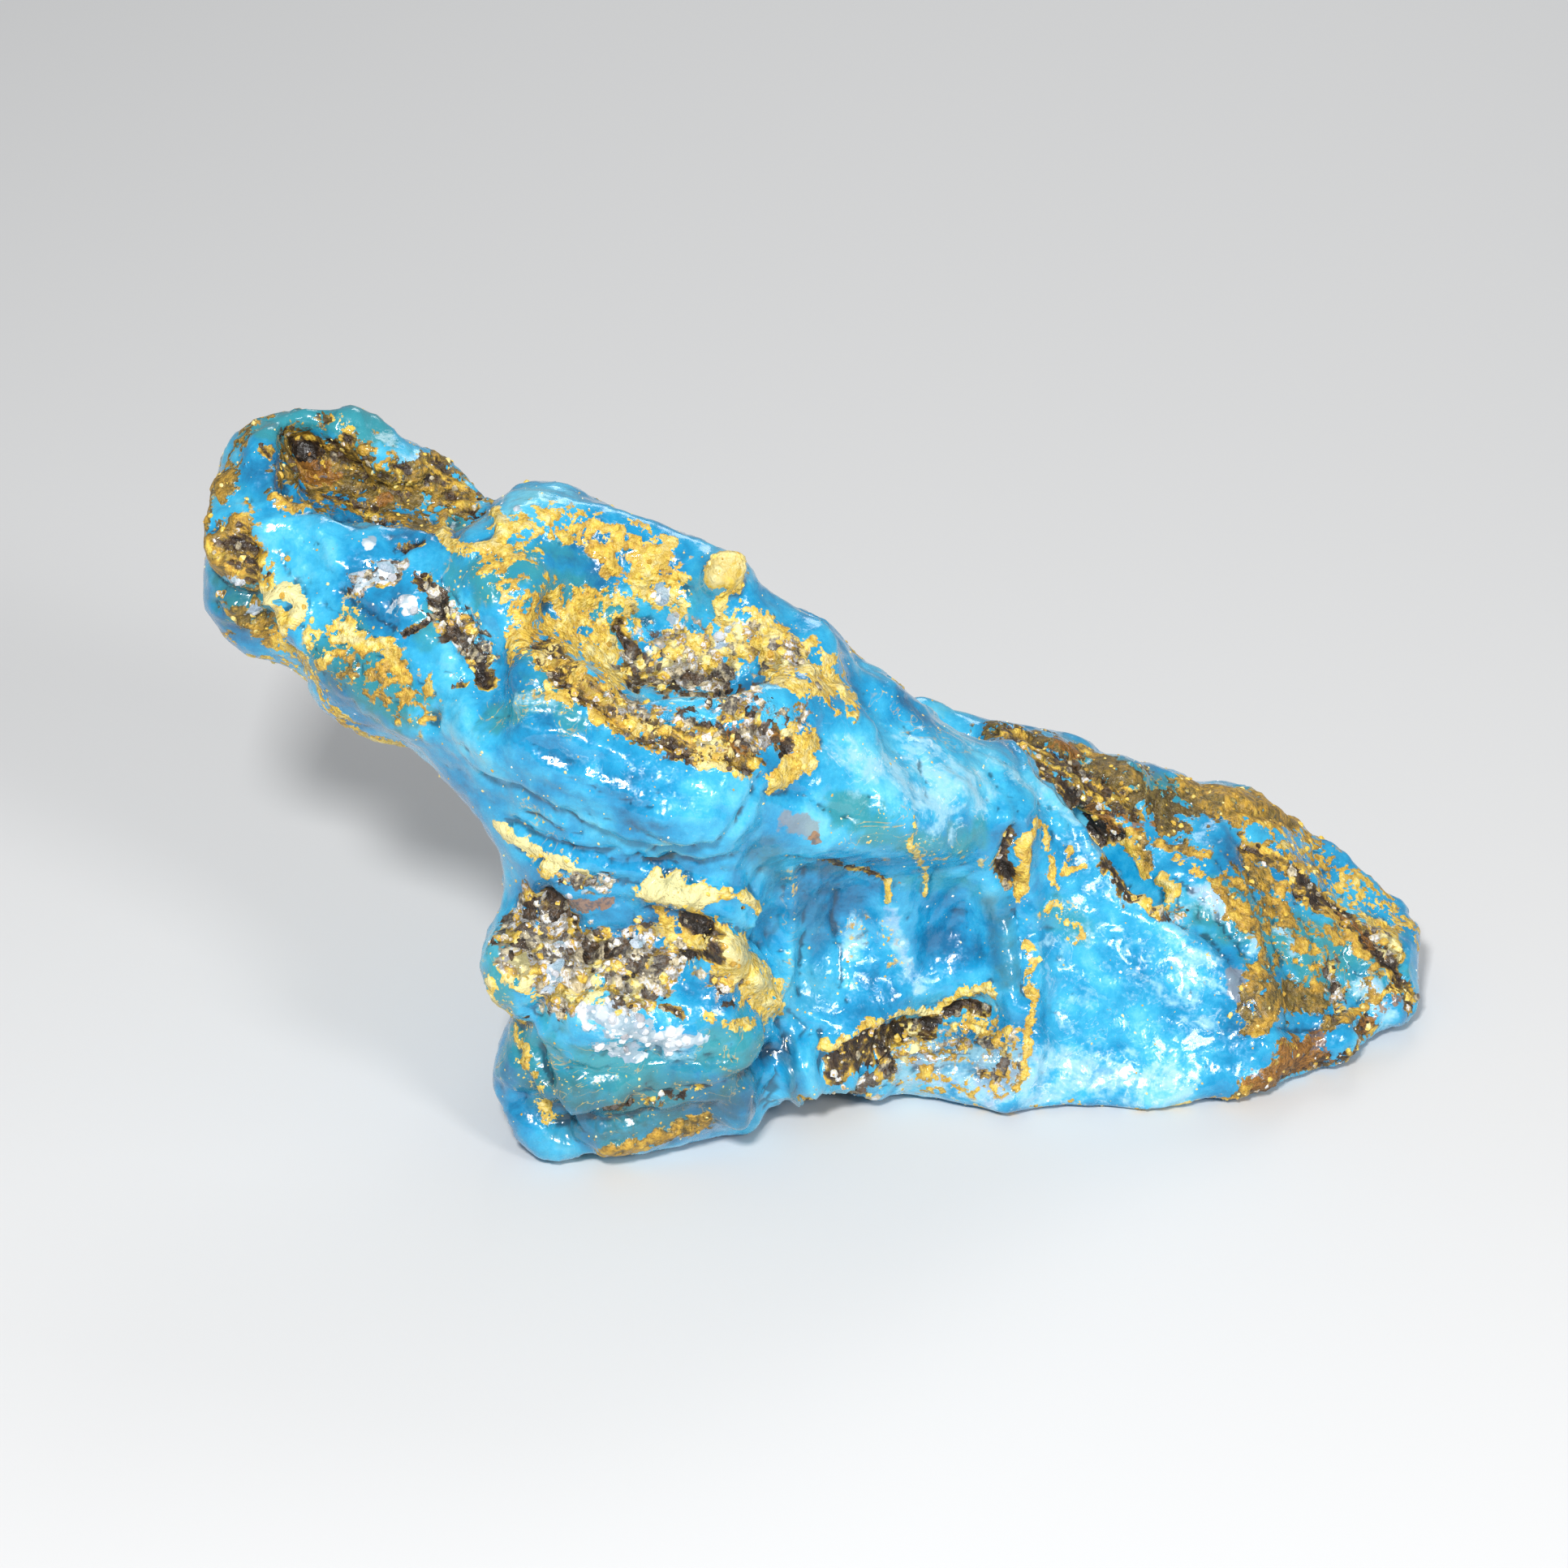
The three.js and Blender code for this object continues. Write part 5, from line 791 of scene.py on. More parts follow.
class ColourSettings(bpy.types.PropertyGroup):
    # Also the dark end that the painted shade in hollows runs to.
    deep: colour("Deep blue", "The deepest blue of the amber", (0.003, 0.140, 0.31))
    azure: colour("Azure", "The blue of the clean amber", (0.006, 0.295, 0.57))
    sky: colour("Sky blue", "The lighter blue of worn amber", (0.045, 0.465, 0.74))
    bright: colour("Bright sky", "The lightest blue", (0.17, 0.65, 0.86))
    teal: colour("Teal", "The greener blue of amber near the crust", (0.030, 0.27, 0.30))
    pale: colour("Pale blue", "The chalky blue of scuffed amber", (0.36, 0.70, 0.86))
    cream: colour("Cream", "The palest crust", (0.93, 0.82, 0.38))
    yellow: colour("Yellow", "The bright crust", (0.88, 0.61, 0.085))
    ochre: colour("Ochre", "The common crust", (0.62, 0.35, 0.035))
    olive: colour("Olive", "The dull crust", (0.21, 0.145, 0.030))
    rust: colour("Rust", "The iron stains", (0.36, 0.15, 0.02))
    earth: colour("Earth", "The brown soil in the hollows", (0.105, 0.058, 0.024))
    soot: colour("Soot", "The darkest soil", (0.014, 0.009, 0.006))
    stone: colour("Stone", "The grey and beige grit", (0.46, 0.39, 0.25))
    sand: colour("Sand", "The quartz sand", (0.84, 0.88, 0.93))
    gold: colour("Gold fleck", "The tiny flecks in the skin", (0.80, 0.60, 0.24))


class GrainSettings(bpy.types.PropertyGroup):
    sand_size: length("Sand grain", "Width of a large sand grain", 0.80)
    crumb_size: length("Crumb", "Width of a large crumb of crust", 0.50)
    grit_size: length("Grit", "Width of a large piece of grit", 0.80)
    speck_size: length("Speck", "Width of a large speck in the bare amber", 0.26)
    sand_share: amount("Sand", "Sand grains on a square millimetre", 2.6)
    crumb_share: amount("Crumbs", "Crumbs on a square millimetre", 0.7)
    grit_share: amount("Grit pieces", "Pieces of grit on a square millimetre", 2.2)
    speck_share: amount("Specks", "Specks on a square millimetre", 0.4)
    seed: IntProperty(name="Seed", description="Seed of the scattering", default=11)


class StageSettings(bpy.types.PropertyGroup):
    floor: colour("Floor", "The pale floor", (0.74, 0.74, 0.74))
    key: amount("Key light", "Power of the light on the left", 1.25, unit="POWER")
    fill: amount("Fill light", "Power of the light on the right", 0.45, unit="POWER")
    rim: amount("Rim light", "Power of the light behind", 0.22, unit="POWER")
    room: amount("Room light", "Strength of the light from all sides", 0.33)


# ---- Node building, for shaders and for Geometry Nodes alike ----


class Nodes:
    """A short way to write node trees. Sockets, numbers and colours can all be given as inputs."""

    def __init__(self, tree):
        self.tree = tree

    def link(self, value, socket):
        if isinstance(value, bpy.types.NodeSocket):
            self.tree.links.new(value, socket)
        elif isinstance(value, (bool, int, float, str)):
            socket.default_value = value
        else:
            values = tuple(value)
            socket.default_value = values + (1.0,) * (len(socket.default_value) - len(values))

    def add(self, kind, inputs=None, **settings):
        node = self.tree.nodes.new(kind)
        for name, value in settings.items():
            setattr(node, name, value)
        for name, value in (inputs or {}).items():
            self.link(value, node.inputs[name])
        return node

    def math(self, operation, a, b=0.0, c=0.0):
        return self.add("ShaderNodeMath", {0: a, 1: b, 2: c}, operation=operation).outputs[0]

    def total(self, first, *terms):
        """first plus (value - middle) * strength for each term (value, middle, strength)."""
        for value, middle, strength in terms:
            rest = self.math("ADD", first, -middle * strength)
            first = self.math("MULTIPLY_ADD", value, strength, rest)
        return first

    def product(self, *values):
        result = values[0]
        for value in values[1:]:
            result = self.math("MULTIPLY", result, value)
        return result

    def blend(self, share, a, b):
        node = self.add("ShaderNodeMix", data_type="RGBA", blend_type="MIX")
        for socket, value in ((node.inputs[0], share), (node.inputs[6], a), (node.inputs[7], b)):
            self.link(value, socket)
        return node.outputs[2]

    def step(self, value, low, high, to_low=0.0, to_high=1.0):
        inputs = {"Value": value, "From Min": low, "From Max": high}
        inputs |= {"To Min": to_low, "To Max": to_high}
        return self.add("ShaderNodeMapRange", inputs, interpolation_type="SMOOTHSTEP").outputs[0]

    def ramp(self, value, *stops):
        """A colour that runs through the (place, colour) stops."""
        node = self.add("ShaderNodeValToRGB", {"Fac": value})
        elements = node.color_ramp.elements
        while len(elements) < len(stops):
            elements.new(0.5)
        for element, (place, shade) in zip(elements, stops):
            element.position = place
            element.color = tuple(shade) + (1.0,)
        return node.outputs["Color"]

    def moved(self, place, *offset):
        return self.add("ShaderNodeVectorMath", {0: place, 1: offset}, operation="ADD").outputs[0]

    def scaled(self, vector, factor):
        inputs = {0: vector, 3: factor}
        return self.add("ShaderNodeVectorMath", inputs, operation="SCALE").outputs[0]

    def noise(self, place, size, detail=3.0, rough=0.55, bend=0.0):
        """Noise with lumps of this size in millimetres, around 0.5."""
        inputs = {"Vector": place, "Scale": 1.0 / size, "Detail": detail, "Roughness": rough}
        return self.add("ShaderNodeTexNoise", inputs | {"Distortion": bend}).outputs[0]

    def cells(self, place, size):
        """A crowd of grains of this size in mm: distance from the middle, and a random colour."""
        inputs = {"Vector": place, "Scale": 1.0 / size, "Randomness": 1.0}
        node = self.add("ShaderNodeTexVoronoi", inputs)
        return node.outputs["Distance"], node.outputs["Color"]


def coarse_noise(nodes, place):
    return nodes.noise(place, 1.5, 5.0, 0.68, 0.4)


def pucker_noise(nodes, place):
    return nodes.noise(nodes.moved(place, 3.0, 1.0, 1.0), 0.65, 2.0, 0.5)


def broad_noise(nodes, place):
    return nodes.noise(nodes.moved(place, 5.0, 3.0, 9.0), 6.0, 2.0)


def streak_noise(nodes, place):
    """Noise drawn out into streaks that run down the length of the lump."""
    inputs = {0: place, 1: GRAIN}
    along = nodes.add("ShaderNodeVectorMath", inputs, operation="DOT_PRODUCT").outputs["Value"]
    grain = nodes.add("ShaderNodeCombineXYZ", dict(zip("XYZ", GRAIN))).outputs[0]
    pulled = nodes.scaled(grain, along)
    inputs = {0: pulled, 1: (-0.8,) * 3, 2: place}
    squeezed = nodes.add("ShaderNodeVectorMath", inputs, operation="MULTIPLY_ADD")
    return nodes.noise(squeezed.outputs[0], 0.95, 3.0, 0.6, 0.5)


def swirl_noise(nodes, place):
    return nodes.noise(nodes.moved(place, 2.0, 9.0, 4.0), 3.2, 3.0, 0.55, 1.8)


# ---- The skin: shape ----


def smooth_step(low, high, value):
    share = np.clip((value - low) / (high - low), 0.0, 1.0)
    return share * share * (3.0 - 2.0 * share)


def averaged(values, edges, rounds, share=0.5):
    """Blurs values over the mesh, by this many rounds of meeting the neighbours halfway."""
    values = values.copy()
    count = np.bincount(edges.ravel(), minlength=len(values)).astype(float)
    for _ in range(rounds):
        total = np.zeros_like(values)
        np.add.at(total, edges[:, 0], values[edges[:, 1]])
        np.add.at(total, edges[:, 1], values[edges[:, 0]])
        mean = total / (count[:, None] if values.ndim == 2 else count)
        values += (mean - values) * share
    return values


def vectors(items, name):
    flat = np.empty(len(items) * 3)
    items.foreach_get(name, flat)
    return flat.reshape(-1, 3)


def set_vertices(mesh, metres):
    mesh.vertices.foreach_set("co", metres.ravel())
    mesh.update()


class Layout:
    """Lays paths down on the skin, and measures how far the corners of the mesh are from them."""

    def __init__(self, points):
        self.points = points
        self.tree = KDTree(len(points))
        for n, point in enumerate(points):
            self.tree.insert(point, n)
        self.tree.balance()

    def laid(self, path):
        """The path as many short steps, each point of it drawn onto the skin."""
        stops = [np.array(path[0], float)]
        for a, b in zip(path, path[1:]):
            a, b = np.array(a, float), np.array(b, float)
            parts = max(1, math.ceil(np.linalg.norm(b - a) / PATH_STEP))
            stops += [a + (b - a) * n / parts for n in range(1, parts + 1)]
        return np.array([self.points[self.tree.find(stop)[1]] for stop in stops])

    def distance(self, path, reach):
        """Corner numbers, and the distance of each to the path laid on the skin."""
        stops = self.laid(path)
        found = {n for stop in stops for _, n, _ in self.tree.find_range(stop, reach + PATH_STEP)}
        where = np.fromiter(found, int, len(found))
        points = self.points[where]
        best = np.linalg.norm(points - stops[0], axis=1)
        for a, b in zip(stops, stops[1:]):
            along = b - a
            size = along @ along
            if size > NOTHING:
                share = np.clip((points - a) @ along / size, 0.0, 1.0)
                best = np.minimum(best, np.linalg.norm(points - a - share[:, None] * along, axis=1))
        return where, best

    def weight(self, path, reach, sway=None):
        """1 near the path and 0 past its reach, for every corner of the mesh. sway frays it."""
        weight = np.zeros(len(self.points))
        where, distance = self.distance(path, reach * TAIL)
        away = distance / reach + (0.0 if sway is None else sway[where])
        weight[where] = 1.0 - smooth_step(*PATH_EDGE, away)
        return weight


def merged_copy(source, name):
    """A copy of a solid's mesh, with the corners that its triangles share joined up."""
    mesh = source.data.copy()
    mesh.name = name
    shape = bmesh.new()
    shape.from_mesh(mesh)
    bmesh.ops.remove_doubles(shape, verts=shape.verts, dist=1e-6)
    shape.to_mesh(mesh)
    shape.free()
    obj = bpy.data.objects.new(name, mesh)
    bpy.context.collection.objects.link(obj)
    return obj


def plain_mesh(obj, name):
    """The mesh that an object's modifiers give, as a mesh of its own."""
    bpy.context.view_layer.update()
    graph = bpy.context.evaluated_depsgraph_get()
    seen = obj.evaluated_get(graph)
    mesh = bpy.data.meshes.new_from_object(seen, preserve_all_data_layers=True, depsgraph=graph)
    mesh.name = name
    return mesh


def applied(obj):
    """Turns an object's modifiers into its mesh."""
    mesh = plain_mesh(obj, obj.name)
    obj.modifiers.clear()
    old, obj.data = obj.data, mesh
    bpy.data.meshes.remove(old)
    return mesh


def remeshed(obj, cell):
    modifier = obj.modifiers.new("Even cells", "REMESH")
    modifier.mode = "VOXEL"
    modifier.voxel_size = cell
    modifier.use_smooth_shade = True
    applied(obj).materials.clear()
    return obj


def sampled(obj, recipes):
    """What each recipe reads at each corner of the mesh, which keeps its places as an attribute."""
    tree = bpy.data.node_groups.new("Skin Textures", "GeometryNodeTree")
    for flow in ("INPUT", "OUTPUT"):
        tree.interface.new_socket("Skin", in_out=flow, socket_type="NodeSocketGeometry")
    nodes = Nodes(tree)
    skin = tree.nodes.new("NodeGroupInput").outputs[0]
    place = nodes.scaled(nodes.add("GeometryNodeInputPosition").outputs[0], 1.0 / MM)

    def stored(name, value, kind):
        inputs = {"Geometry": skin, "Name": name}
        node = nodes.add("GeometryNodeStoreNamedAttribute", inputs, data_type=kind, domain="POINT")
        nodes.link(value, next(s for s in node.inputs if s.name == "Value" and s.enabled))
        return node.outputs[0]

    skin = stored("place", place, "FLOAT_VECTOR")
    for name, recipe in recipes.items():
        skin = stored(name, recipe(nodes, place), "FLOAT")
    nodes.link(skin, tree.nodes.new("NodeGroupOutput").inputs[0])
    obj.modifiers.new("Textures", "NODES").node_group = tree
    mesh = applied(obj)
    found = {}
    for name in recipes:
        layer = mesh.attributes[name]
        found[name] = np.empty(len(mesh.vertices))
        layer.data.foreach_get("value", found[name])
        mesh.attributes.remove(layer)
    return found


def store(mesh, name, values):
    layer = mesh.attributes.new(name, "FLOAT", "POINT")
    layer.data.foreach_set("value", np.ascontiguousarray(values, np.float32))


def covering(layout, kind, sway):
    """How much of the skin this covering takes at each corner of the mesh."""
    weight = np.zeros(len(layout.points))
    for path, reach, share in COVERS[kind].values():
        weight = np.maximum(weight, layout.weight(path, reach, sway) * share)
    return weight


SKIN_TEXTURES = {
    "coarse": coarse_noise,
    "broad": broad_noise,
    "swirl": swirl_noise,
    "ripple": lambda nodes, place: nodes.noise(
        nodes.moved(place, 7.0, 1.0, 2.0), 2.3, 3.0, 0.5, 0.6
    ),
    "fold": lambda nodes, place: nodes.noise(nodes.moved(place, 1.0, 6.0, 8.0), 3.6, 2.0, 0.5, 1.2),
    "streak": streak_noise,
    "chip": lambda nodes, place: nodes.noise(nodes.moved(place, 4.0, 4.0, 1.0), 0.9, 2.0, 0.6),
    "lump": lambda nodes, place: nodes.cells(nodes.moved(place, 2.0, 5.0, 3.0), 1.15)[0],
    "pucker": pucker_noise,
    "bead": lambda nodes, place: nodes.cells(nodes.moved(place, 6.0, 2.0, 1.0), 0.75)[0],
}


def swollen(points, edges):
    """The corners of the mesh with its faces evened out, and the broad swells worked in."""
    points = averaged(points, edges, SMOOTH_ROUNDS)
    layout = Layout(points + OWN_AXES)
    for path, reach, move in SWELLS.values():
        where, distance = layout.distance(path, reach * TAIL)
        points[where] += np.exp(-((distance / reach) ** 2))[:, None] * move
    points[:, 2] = np.maximum(points[:, 2], 0.0)
    return points


def covered(layout, seen):
    """The coverings by kind, and how far crust, soil, grit, sand and bare wax reach everywhere."""
    coarse, chip = seen["coarse"] - 0.5, seen["chip"] - 0.5
    sway = 2.0 * (seen["ripple"] - 0.5) + 2.0 * chip
    cover = {kind: covering(layout, kind, sway) for kind in COVERS}
    near = {kind: smooth_step(*MASK_EDGE, cover[kind]) for kind in FRAYED}
    level = cover["crust"] + CRUST_COARSE * coarse
    level = level + CRUST_PUCKER * (seen["pucker"] - 0.5) - cover["bare"]
    crust = near["crust"] * smooth_step(*CRUST_EDGE, level)
    soil = near["earth"] * smooth_step(*SOIL_EDGE, cover["earth"] - 1.8 * coarse)
    grit = near["grit"] * smooth_step(*GRIT_EDGE, cover["grit"] + 1.0 * coarse)
    sand = near["sand"] * smooth_step(*SAND_EDGE, cover["sand"] + 0.5 * coarse)
    wax = np.clip(1.0 - crust - soil - grit, 0.0, 1.0)
    thick = smooth_step(*THICK_CRUST, level)
    part = {"crust": crust, "thick": thick, "soil": soil, "grit": grit, "sand": sand, "wax": wax}
    return cover, part


def surface_rise(seen, part, settings):
    """How far the finish of each part of the skin stands off it, in millimetres."""
    broad, chip, streaks = seen["broad"] - 0.5, seen["chip"] - 0.5, seen["streak"] - 0.5
    lump, bead = 0.42 - seen["lump"], 0.42 - seen["bead"]
    crumble = settings.crumble / MM
    rise = part["wax"] * settings.melt / MM * (seen["ripple"] - 0.5)
    pleats = np.clip(1.0 - np.abs(seen["fold"] - 0.5) * 16.0, 0.0, 1.0) ** 1.5
    rise -= part["wax"] * settings.pleat / MM * pleats * smooth_step(-0.06, 0.1, broad)
    rise += part["crust"] * settings.crust / MM * (0.35 + 0.65 * part["thick"])
    rise += part["crust"] * crumble * (0.25 * lump + 0.15 * bead + 0.9 * chip)
    packed = crumble * (0.3 * lump + 0.4 * bead + 1.2 * chip + 1.6 * streaks)
    rise += part["soil"] * (packed - settings.soil / MM)
    grit = part["grit"] * (0.35 * lump + 0.4 * bead + 0.5 * chip)
    rise += grit + part["sand"] * (0.1 + 0.5 * bead)
    return rise


def carve(rise, layout, seen):
    """Works the layers, creases, lips, knobs and pits into rise, their edges frayed by noise."""
    coarse, broad, chip = seen["coarse"] - 0.5, seen["broad"] - 0.5, seen["chip"] - 0.5
    for path, reach, pitch, height, along in LAYERS.values():
        direction = np.array(along) / np.linalg.norm(along)
        count = (layout.points @ direction) / pitch + 2.4 * (seen["ripple"] - 0.5) + 3.0 * broad
        wave = np.abs(np.sin(math.pi * count)) ** 0.7 - 0.55
        rise += layout.weight(path, reach) * height * wave

    sway = 1.6 * chip + 1.2 * coarse

    def near_path(path, width, times, fray=1.0):
        where, distance = layout.distance(path, width * times)
        return where, np.clip(distance / width + fray * sway[where], 0.0, None)

    for path, width, depth in CREASES.values():
        where, away = near_path(path, width, LINE_TAIL)
        rise[where] -= 0.75 * depth * (1.0 + 3.0 * coarse[where]) * np.exp(-(away**2))
        rise[where] += 0.22 * depth * np.exp(-((away - 1.9) ** 2))
    for path, width, height in LIPS.values():
        where, away = near_path(path, width, LINE_TAIL)
        rise[where] += height * np.exp(-(away**2)) * (1.0 + 2.0 * coarse[where])
    for path, radius, height in KNOBS.values():
        where, away = near_path(path, radius, TAIL, 0.8)
        rise[where] += height * np.exp(-(away**3)) * (1.0 + 1.5 * coarse[where])
    for place, radius, depth in PITS:
        where, distance = layout.distance([place], radius * PIT_TAIL)
        rise[where] -= depth * np.exp(-((distance / radius) ** 2))


def shaped_skin(obj, settings):
    """Works every form of the skin into its mesh, and stores what covers it."""
    mesh = obj.data
    edges = np.empty(len(mesh.edges) * 2, int)
    mesh.edges.foreach_get("vertices", edges)
    edges = edges.reshape(-1, 2)
    points = swollen(vectors(mesh.vertices, "co") / MM, edges)
    set_vertices(mesh, points * MM)

    seen = sampled(obj, SKIN_TEXTURES)
    mesh = obj.data
    normals = vectors(mesh.vertices, "normal")
    layout = Layout(points + OWN_AXES)
    cover, part = covered(layout, seen)
    rise = surface_rise(seen, part, settings)
    carve(rise, layout, seen)

    room = smooth_step(0.0, REST_FADE, points[:, 2])
    moved = points + normals * (rise * room)[:, None]
    low, high = (np.array(corner) / MM for corner in SOLID_BOX)
    moved = np.clip(moved, low + (BOX_GAP, BOX_GAP, 0.0), high - BOX_GAP)
    moved = averaged(moved, edges, 1, 0.25)
    moved[:, 2] = np.clip(moved[:, 2], 0.0, None)
    set_vertices(mesh, moved * MM)

    normals = vectors(mesh.vertices, "normal")
    # How far each corner lies in a hollow or a nook; the shader paints shade and shadow there.
    hollow = np.einsum("ij,ij->i", averaged(moved, edges, 14) - moved, normals)
    nook = np.einsum("ij,ij->i", averaged(moved, edges, 3) - moved, normals)
    crust, soil, grit, sand, wax = (part[name] for name in ("crust", "soil", "grit", "sand", "wax"))
    for kind, weight in cover.items():
        store(mesh, kind, weight)
    store(mesh, "hollow", np.clip(hollow / DEEP_HOLLOW, -1.0, 1.0))
    store(mesh, "nook", np.clip(nook / DEEP_NOOK, -1.0, 1.0))
    store(mesh, "rugged", np.clip(crust + soil + grit, 0.0, 1.0))
    store(mesh, "crust cover", crust * (1.0 - soil))
    store(mesh, "grit cover", np.maximum(soil * 0.9, grit))
    store(mesh, "sand cover", sand)
    store(mesh, "wax cover", wax * (1.0 - sand))


# ---- Materials ----


def new_group(name, inputs, outputs):
    """A shader node group. inputs: name -> default number; outputs: name -> socket kind."""
    tree = bpy.data.node_groups.new(name, "ShaderNodeTree")
    for socket_name, default in inputs.items():
        kind = "NodeSocketFloat"
        socket = tree.interface.new_socket(socket_name, in_out="INPUT", socket_type=kind)
        socket.default_value = default
    for socket_name, kind in outputs.items():
        tree.interface.new_socket(socket_name, in_out="OUTPUT", socket_type=f"NodeSocket{kind}")
    given = tree.nodes.new("NodeGroupInput").outputs
    return Nodes(tree), given, tree.nodes.new("NodeGroupOutput").inputs


def use_group(nodes, name, inputs):
    node = nodes.add("ShaderNodeGroup", node_tree=bpy.data.node_groups[name])
    for socket_name, value in inputs.items():
        nodes.link(value, node.inputs[socket_name])
    return node.outputs


def build_crust_colour(c):
    """The colours of the crust by tone, from olive brown to yellow and cream, with rust stains."""
    inputs = {"Tone": 0.5, "Rust": 0.0, "Gap": 0.0}
    nodes, given, out = new_group("Crust Colour", inputs, {"Colour": "Color"})
    dark = tuple(0.35 * v for v in c.olive)
    stops = ((0.0, dark), (0.22, c.olive), (0.45, c.ochre), (0.68, c.yellow), (0.95, c.cream))
    shade = nodes.ramp(given["Tone"], *stops)
    stained = nodes.blend(nodes.math("MULTIPLY", given["Rust"], 0.85), shade, c.rust)
    gap = nodes.math("MULTIPLY", given["Gap"], 0.75)
    nodes.link(nodes.blend(gap, stained, c.earth), out["Colour"])


def build_grit_colour(c):
    """The colours of soil and grit by tone, from soot through brown and beige to gold."""
    nodes, given, out = new_group("Grit Colour", {"Tone": 0.5, "Gap": 0.0}, {"Colour": "Color"})
    gold = tuple(0.8 * v for v in c.ochre)
    grey = (0.115, 0.105, 0.095)
    light = tuple(1.5 * v for v in c.stone)
    dark_stops = ((0.05, c.soot), (0.2, c.earth), (0.34, grey), (0.46, c.stone), (0.55, light))
    pale_stops = ((0.63, c.sand), (0.74, gold), (0.86, c.yellow), (0.98, c.cream))
    shade = nodes.ramp(given["Tone"], *dark_stops, *pale_stops)
    nodes.link(nodes.blend(nodes.math("MULTIPLY", given["Gap"], 0.8), shade, c.soot), out["Colour"])


def build_soil_colour(c):
    """The colours of the packed soil by tone, from soot through brown and olive to ochre."""
    nodes, given, out = new_group("Soil Colour", {"Tone": 0.5, "Gap": 0.0}, {"Colour": "Color"})
    umber = (0.045, 0.024, 0.012)
    stops = ((0.0, c.soot), (0.25, umber), (0.42, c.earth), (0.58, c.olive), (0.72, c.ochre))
    shade = nodes.ramp(given["Tone"], *stops, (0.95, c.yellow))
    nodes.link(nodes.blend(nodes.math("MULTIPLY", given["Gap"], 0.8), shade, c.soot), out["Colour"])


def attribute(nodes, name):
    return nodes.add("ShaderNodeAttribute", attribute_name=name).outputs["Fac"]


def new_material(name):
    material = bpy.data.materials.new(name)
    material.use_nodes = True
    material.node_tree.nodes.clear()
    nodes = Nodes(material.node_tree)
    surface = nodes.add("ShaderNodeBsdfPrincipled")
    output = nodes.add("ShaderNodeOutputMaterial")
    nodes.link(surface.outputs[0], output.inputs["Surface"])
    return material, nodes, surface


class SkinMasks:
    """What the layers of the skin's finish read: its attributes, and the noise that frays them."""

    def __init__(self, nodes):
        place = nodes.add("ShaderNodeAttribute", attribute_name="place").outputs["Vector"]
        kinds = (*COVERS, "hollow", "nook", "rugged")
        self.cover = {kind: attribute(nodes, kind) for kind in kinds}
        self.coarse, self.broad = coarse_noise(nodes, place), broad_noise(nodes, place)
        self.swirl, self.streak = swirl_noise(nodes, place), streak_noise(nodes, place)
        self.fine = nodes.noise(place, 0.32, 2.0, 0.6)
        self.pucker = pucker_noise(nodes, place)
        self.near = {kind: nodes.step(self.cover[kind], *MASK_EDGE) for kind in FRAYED}
        inputs = {"X": self.coarse, "Y": self.fine, "Z": self.streak}
        jitter = nodes.add("ShaderNodeCombineXYZ", inputs)
        inputs = {0: jitter.outputs[0], 1: (1.3, 0.5, 0.9), 2: place}
        jumbled = nodes.add("ShaderNodeVectorMath", inputs, operation="MULTIPLY_ADD")
        self.middle, tint = nodes.cells(jumbled.outputs[0], 0.72)
        self.hue = nodes.add("ShaderNodeSeparateColor", {"Color": tint}).outputs
        self.gap = nodes.step(self.middle, 0.38, 0.62)


def wax_shade(nodes, c, m):
    """The wax: deep blue to bright sky, greener near the crust, chalky where scuffed, painted shade
    in hollows.
    """
    a, coarse, fine = m.cover, m.coarse, m.fine
    # Darker where the deep cover lies, partly its own deeper blue and partly painted shade, and
    # painted shade in hollows.
    depth = nodes.total(0.50, (m.broad, 0.5, 2.1), (coarse, 0.5, 1.0), (a["deep"], 0.0, -0.26))
    depth = nodes.total(depth, (fine, 0.5, 0.15), (a["hollow"], 0.0, -0.25), (a["pale"], 0.0, 0.2))
    shade = nodes.ramp(depth, (0.0, c.deep), (0.35, c.azure), (0.70, c.sky), (1.0, c.bright))
    green = nodes.total(a["teal"], (a["crust"], 0.0, 0.5), (m.broad, 0.5, 1.4), (coarse, 0.5, 0.9))
    shade = nodes.blend(nodes.step(green, 0.15, 0.95, 0.0, 0.85), shade, c.teal)
    milk = nodes.math("MULTIPLY", a["pale"], 0.85)
    milk = nodes.total(milk, (m.swirl, 0.5, 1.6), (fine, 0.5, 0.6), (m.streak, 0.5, 1.2))
    shade = nodes.blend(nodes.step(milk, 0.32, 0.95, 0.0, 0.9), shade, c.pale)
    lilac = nodes.product(nodes.step(a["pale"], 0.7, 0.95), nodes.step(coarse, 0.42, 0.58))
    shade = nodes.blend(nodes.math("MULTIPLY", lilac, 0.55), shade, LILAC)
    thread = nodes.step(nodes.math("ABSOLUTE", nodes.math("SUBTRACT", m.swirl, 0.52)), 0.014, 0.003)
    scuffed = nodes.math("MULTIPLY", a["pale"], 0.6)
    chalk = nodes.product(thread, scuffed, nodes.step(fine, 0.40, 0.55))
    shade = nodes.blend(chalk, shade, CHALK)
    # Painted shade: the wax darkened towards a dark teal.
    painted_shade_share = nodes.math("MULTIPLY", a["dim"], nodes.step(coarse, 0.35, 0.6, 0.45, 0.85))
    shade = nodes.blend(painted_shade_share, shade, PAINTED_SHADE_TEAL)
    blush = nodes.total(a["rose"], (coarse, 0.5, 1.6), (fine, 0.5, 0.8))
    shade = nodes.blend(nodes.step(blush, 0.38, 0.70, 0.0, 0.65), shade, ROSE)
    # Painted shadow: dark blue mixed into the wax in nooks and hollows.
    shadow = nodes.total(a["nook"], (a["hollow"], 0.0, 0.6), (coarse, 0.5, 1.0))
    return nodes.blend(nodes.step(shadow, 0.42, 1.25, 0.0, 0.7), shade, SHADOW)


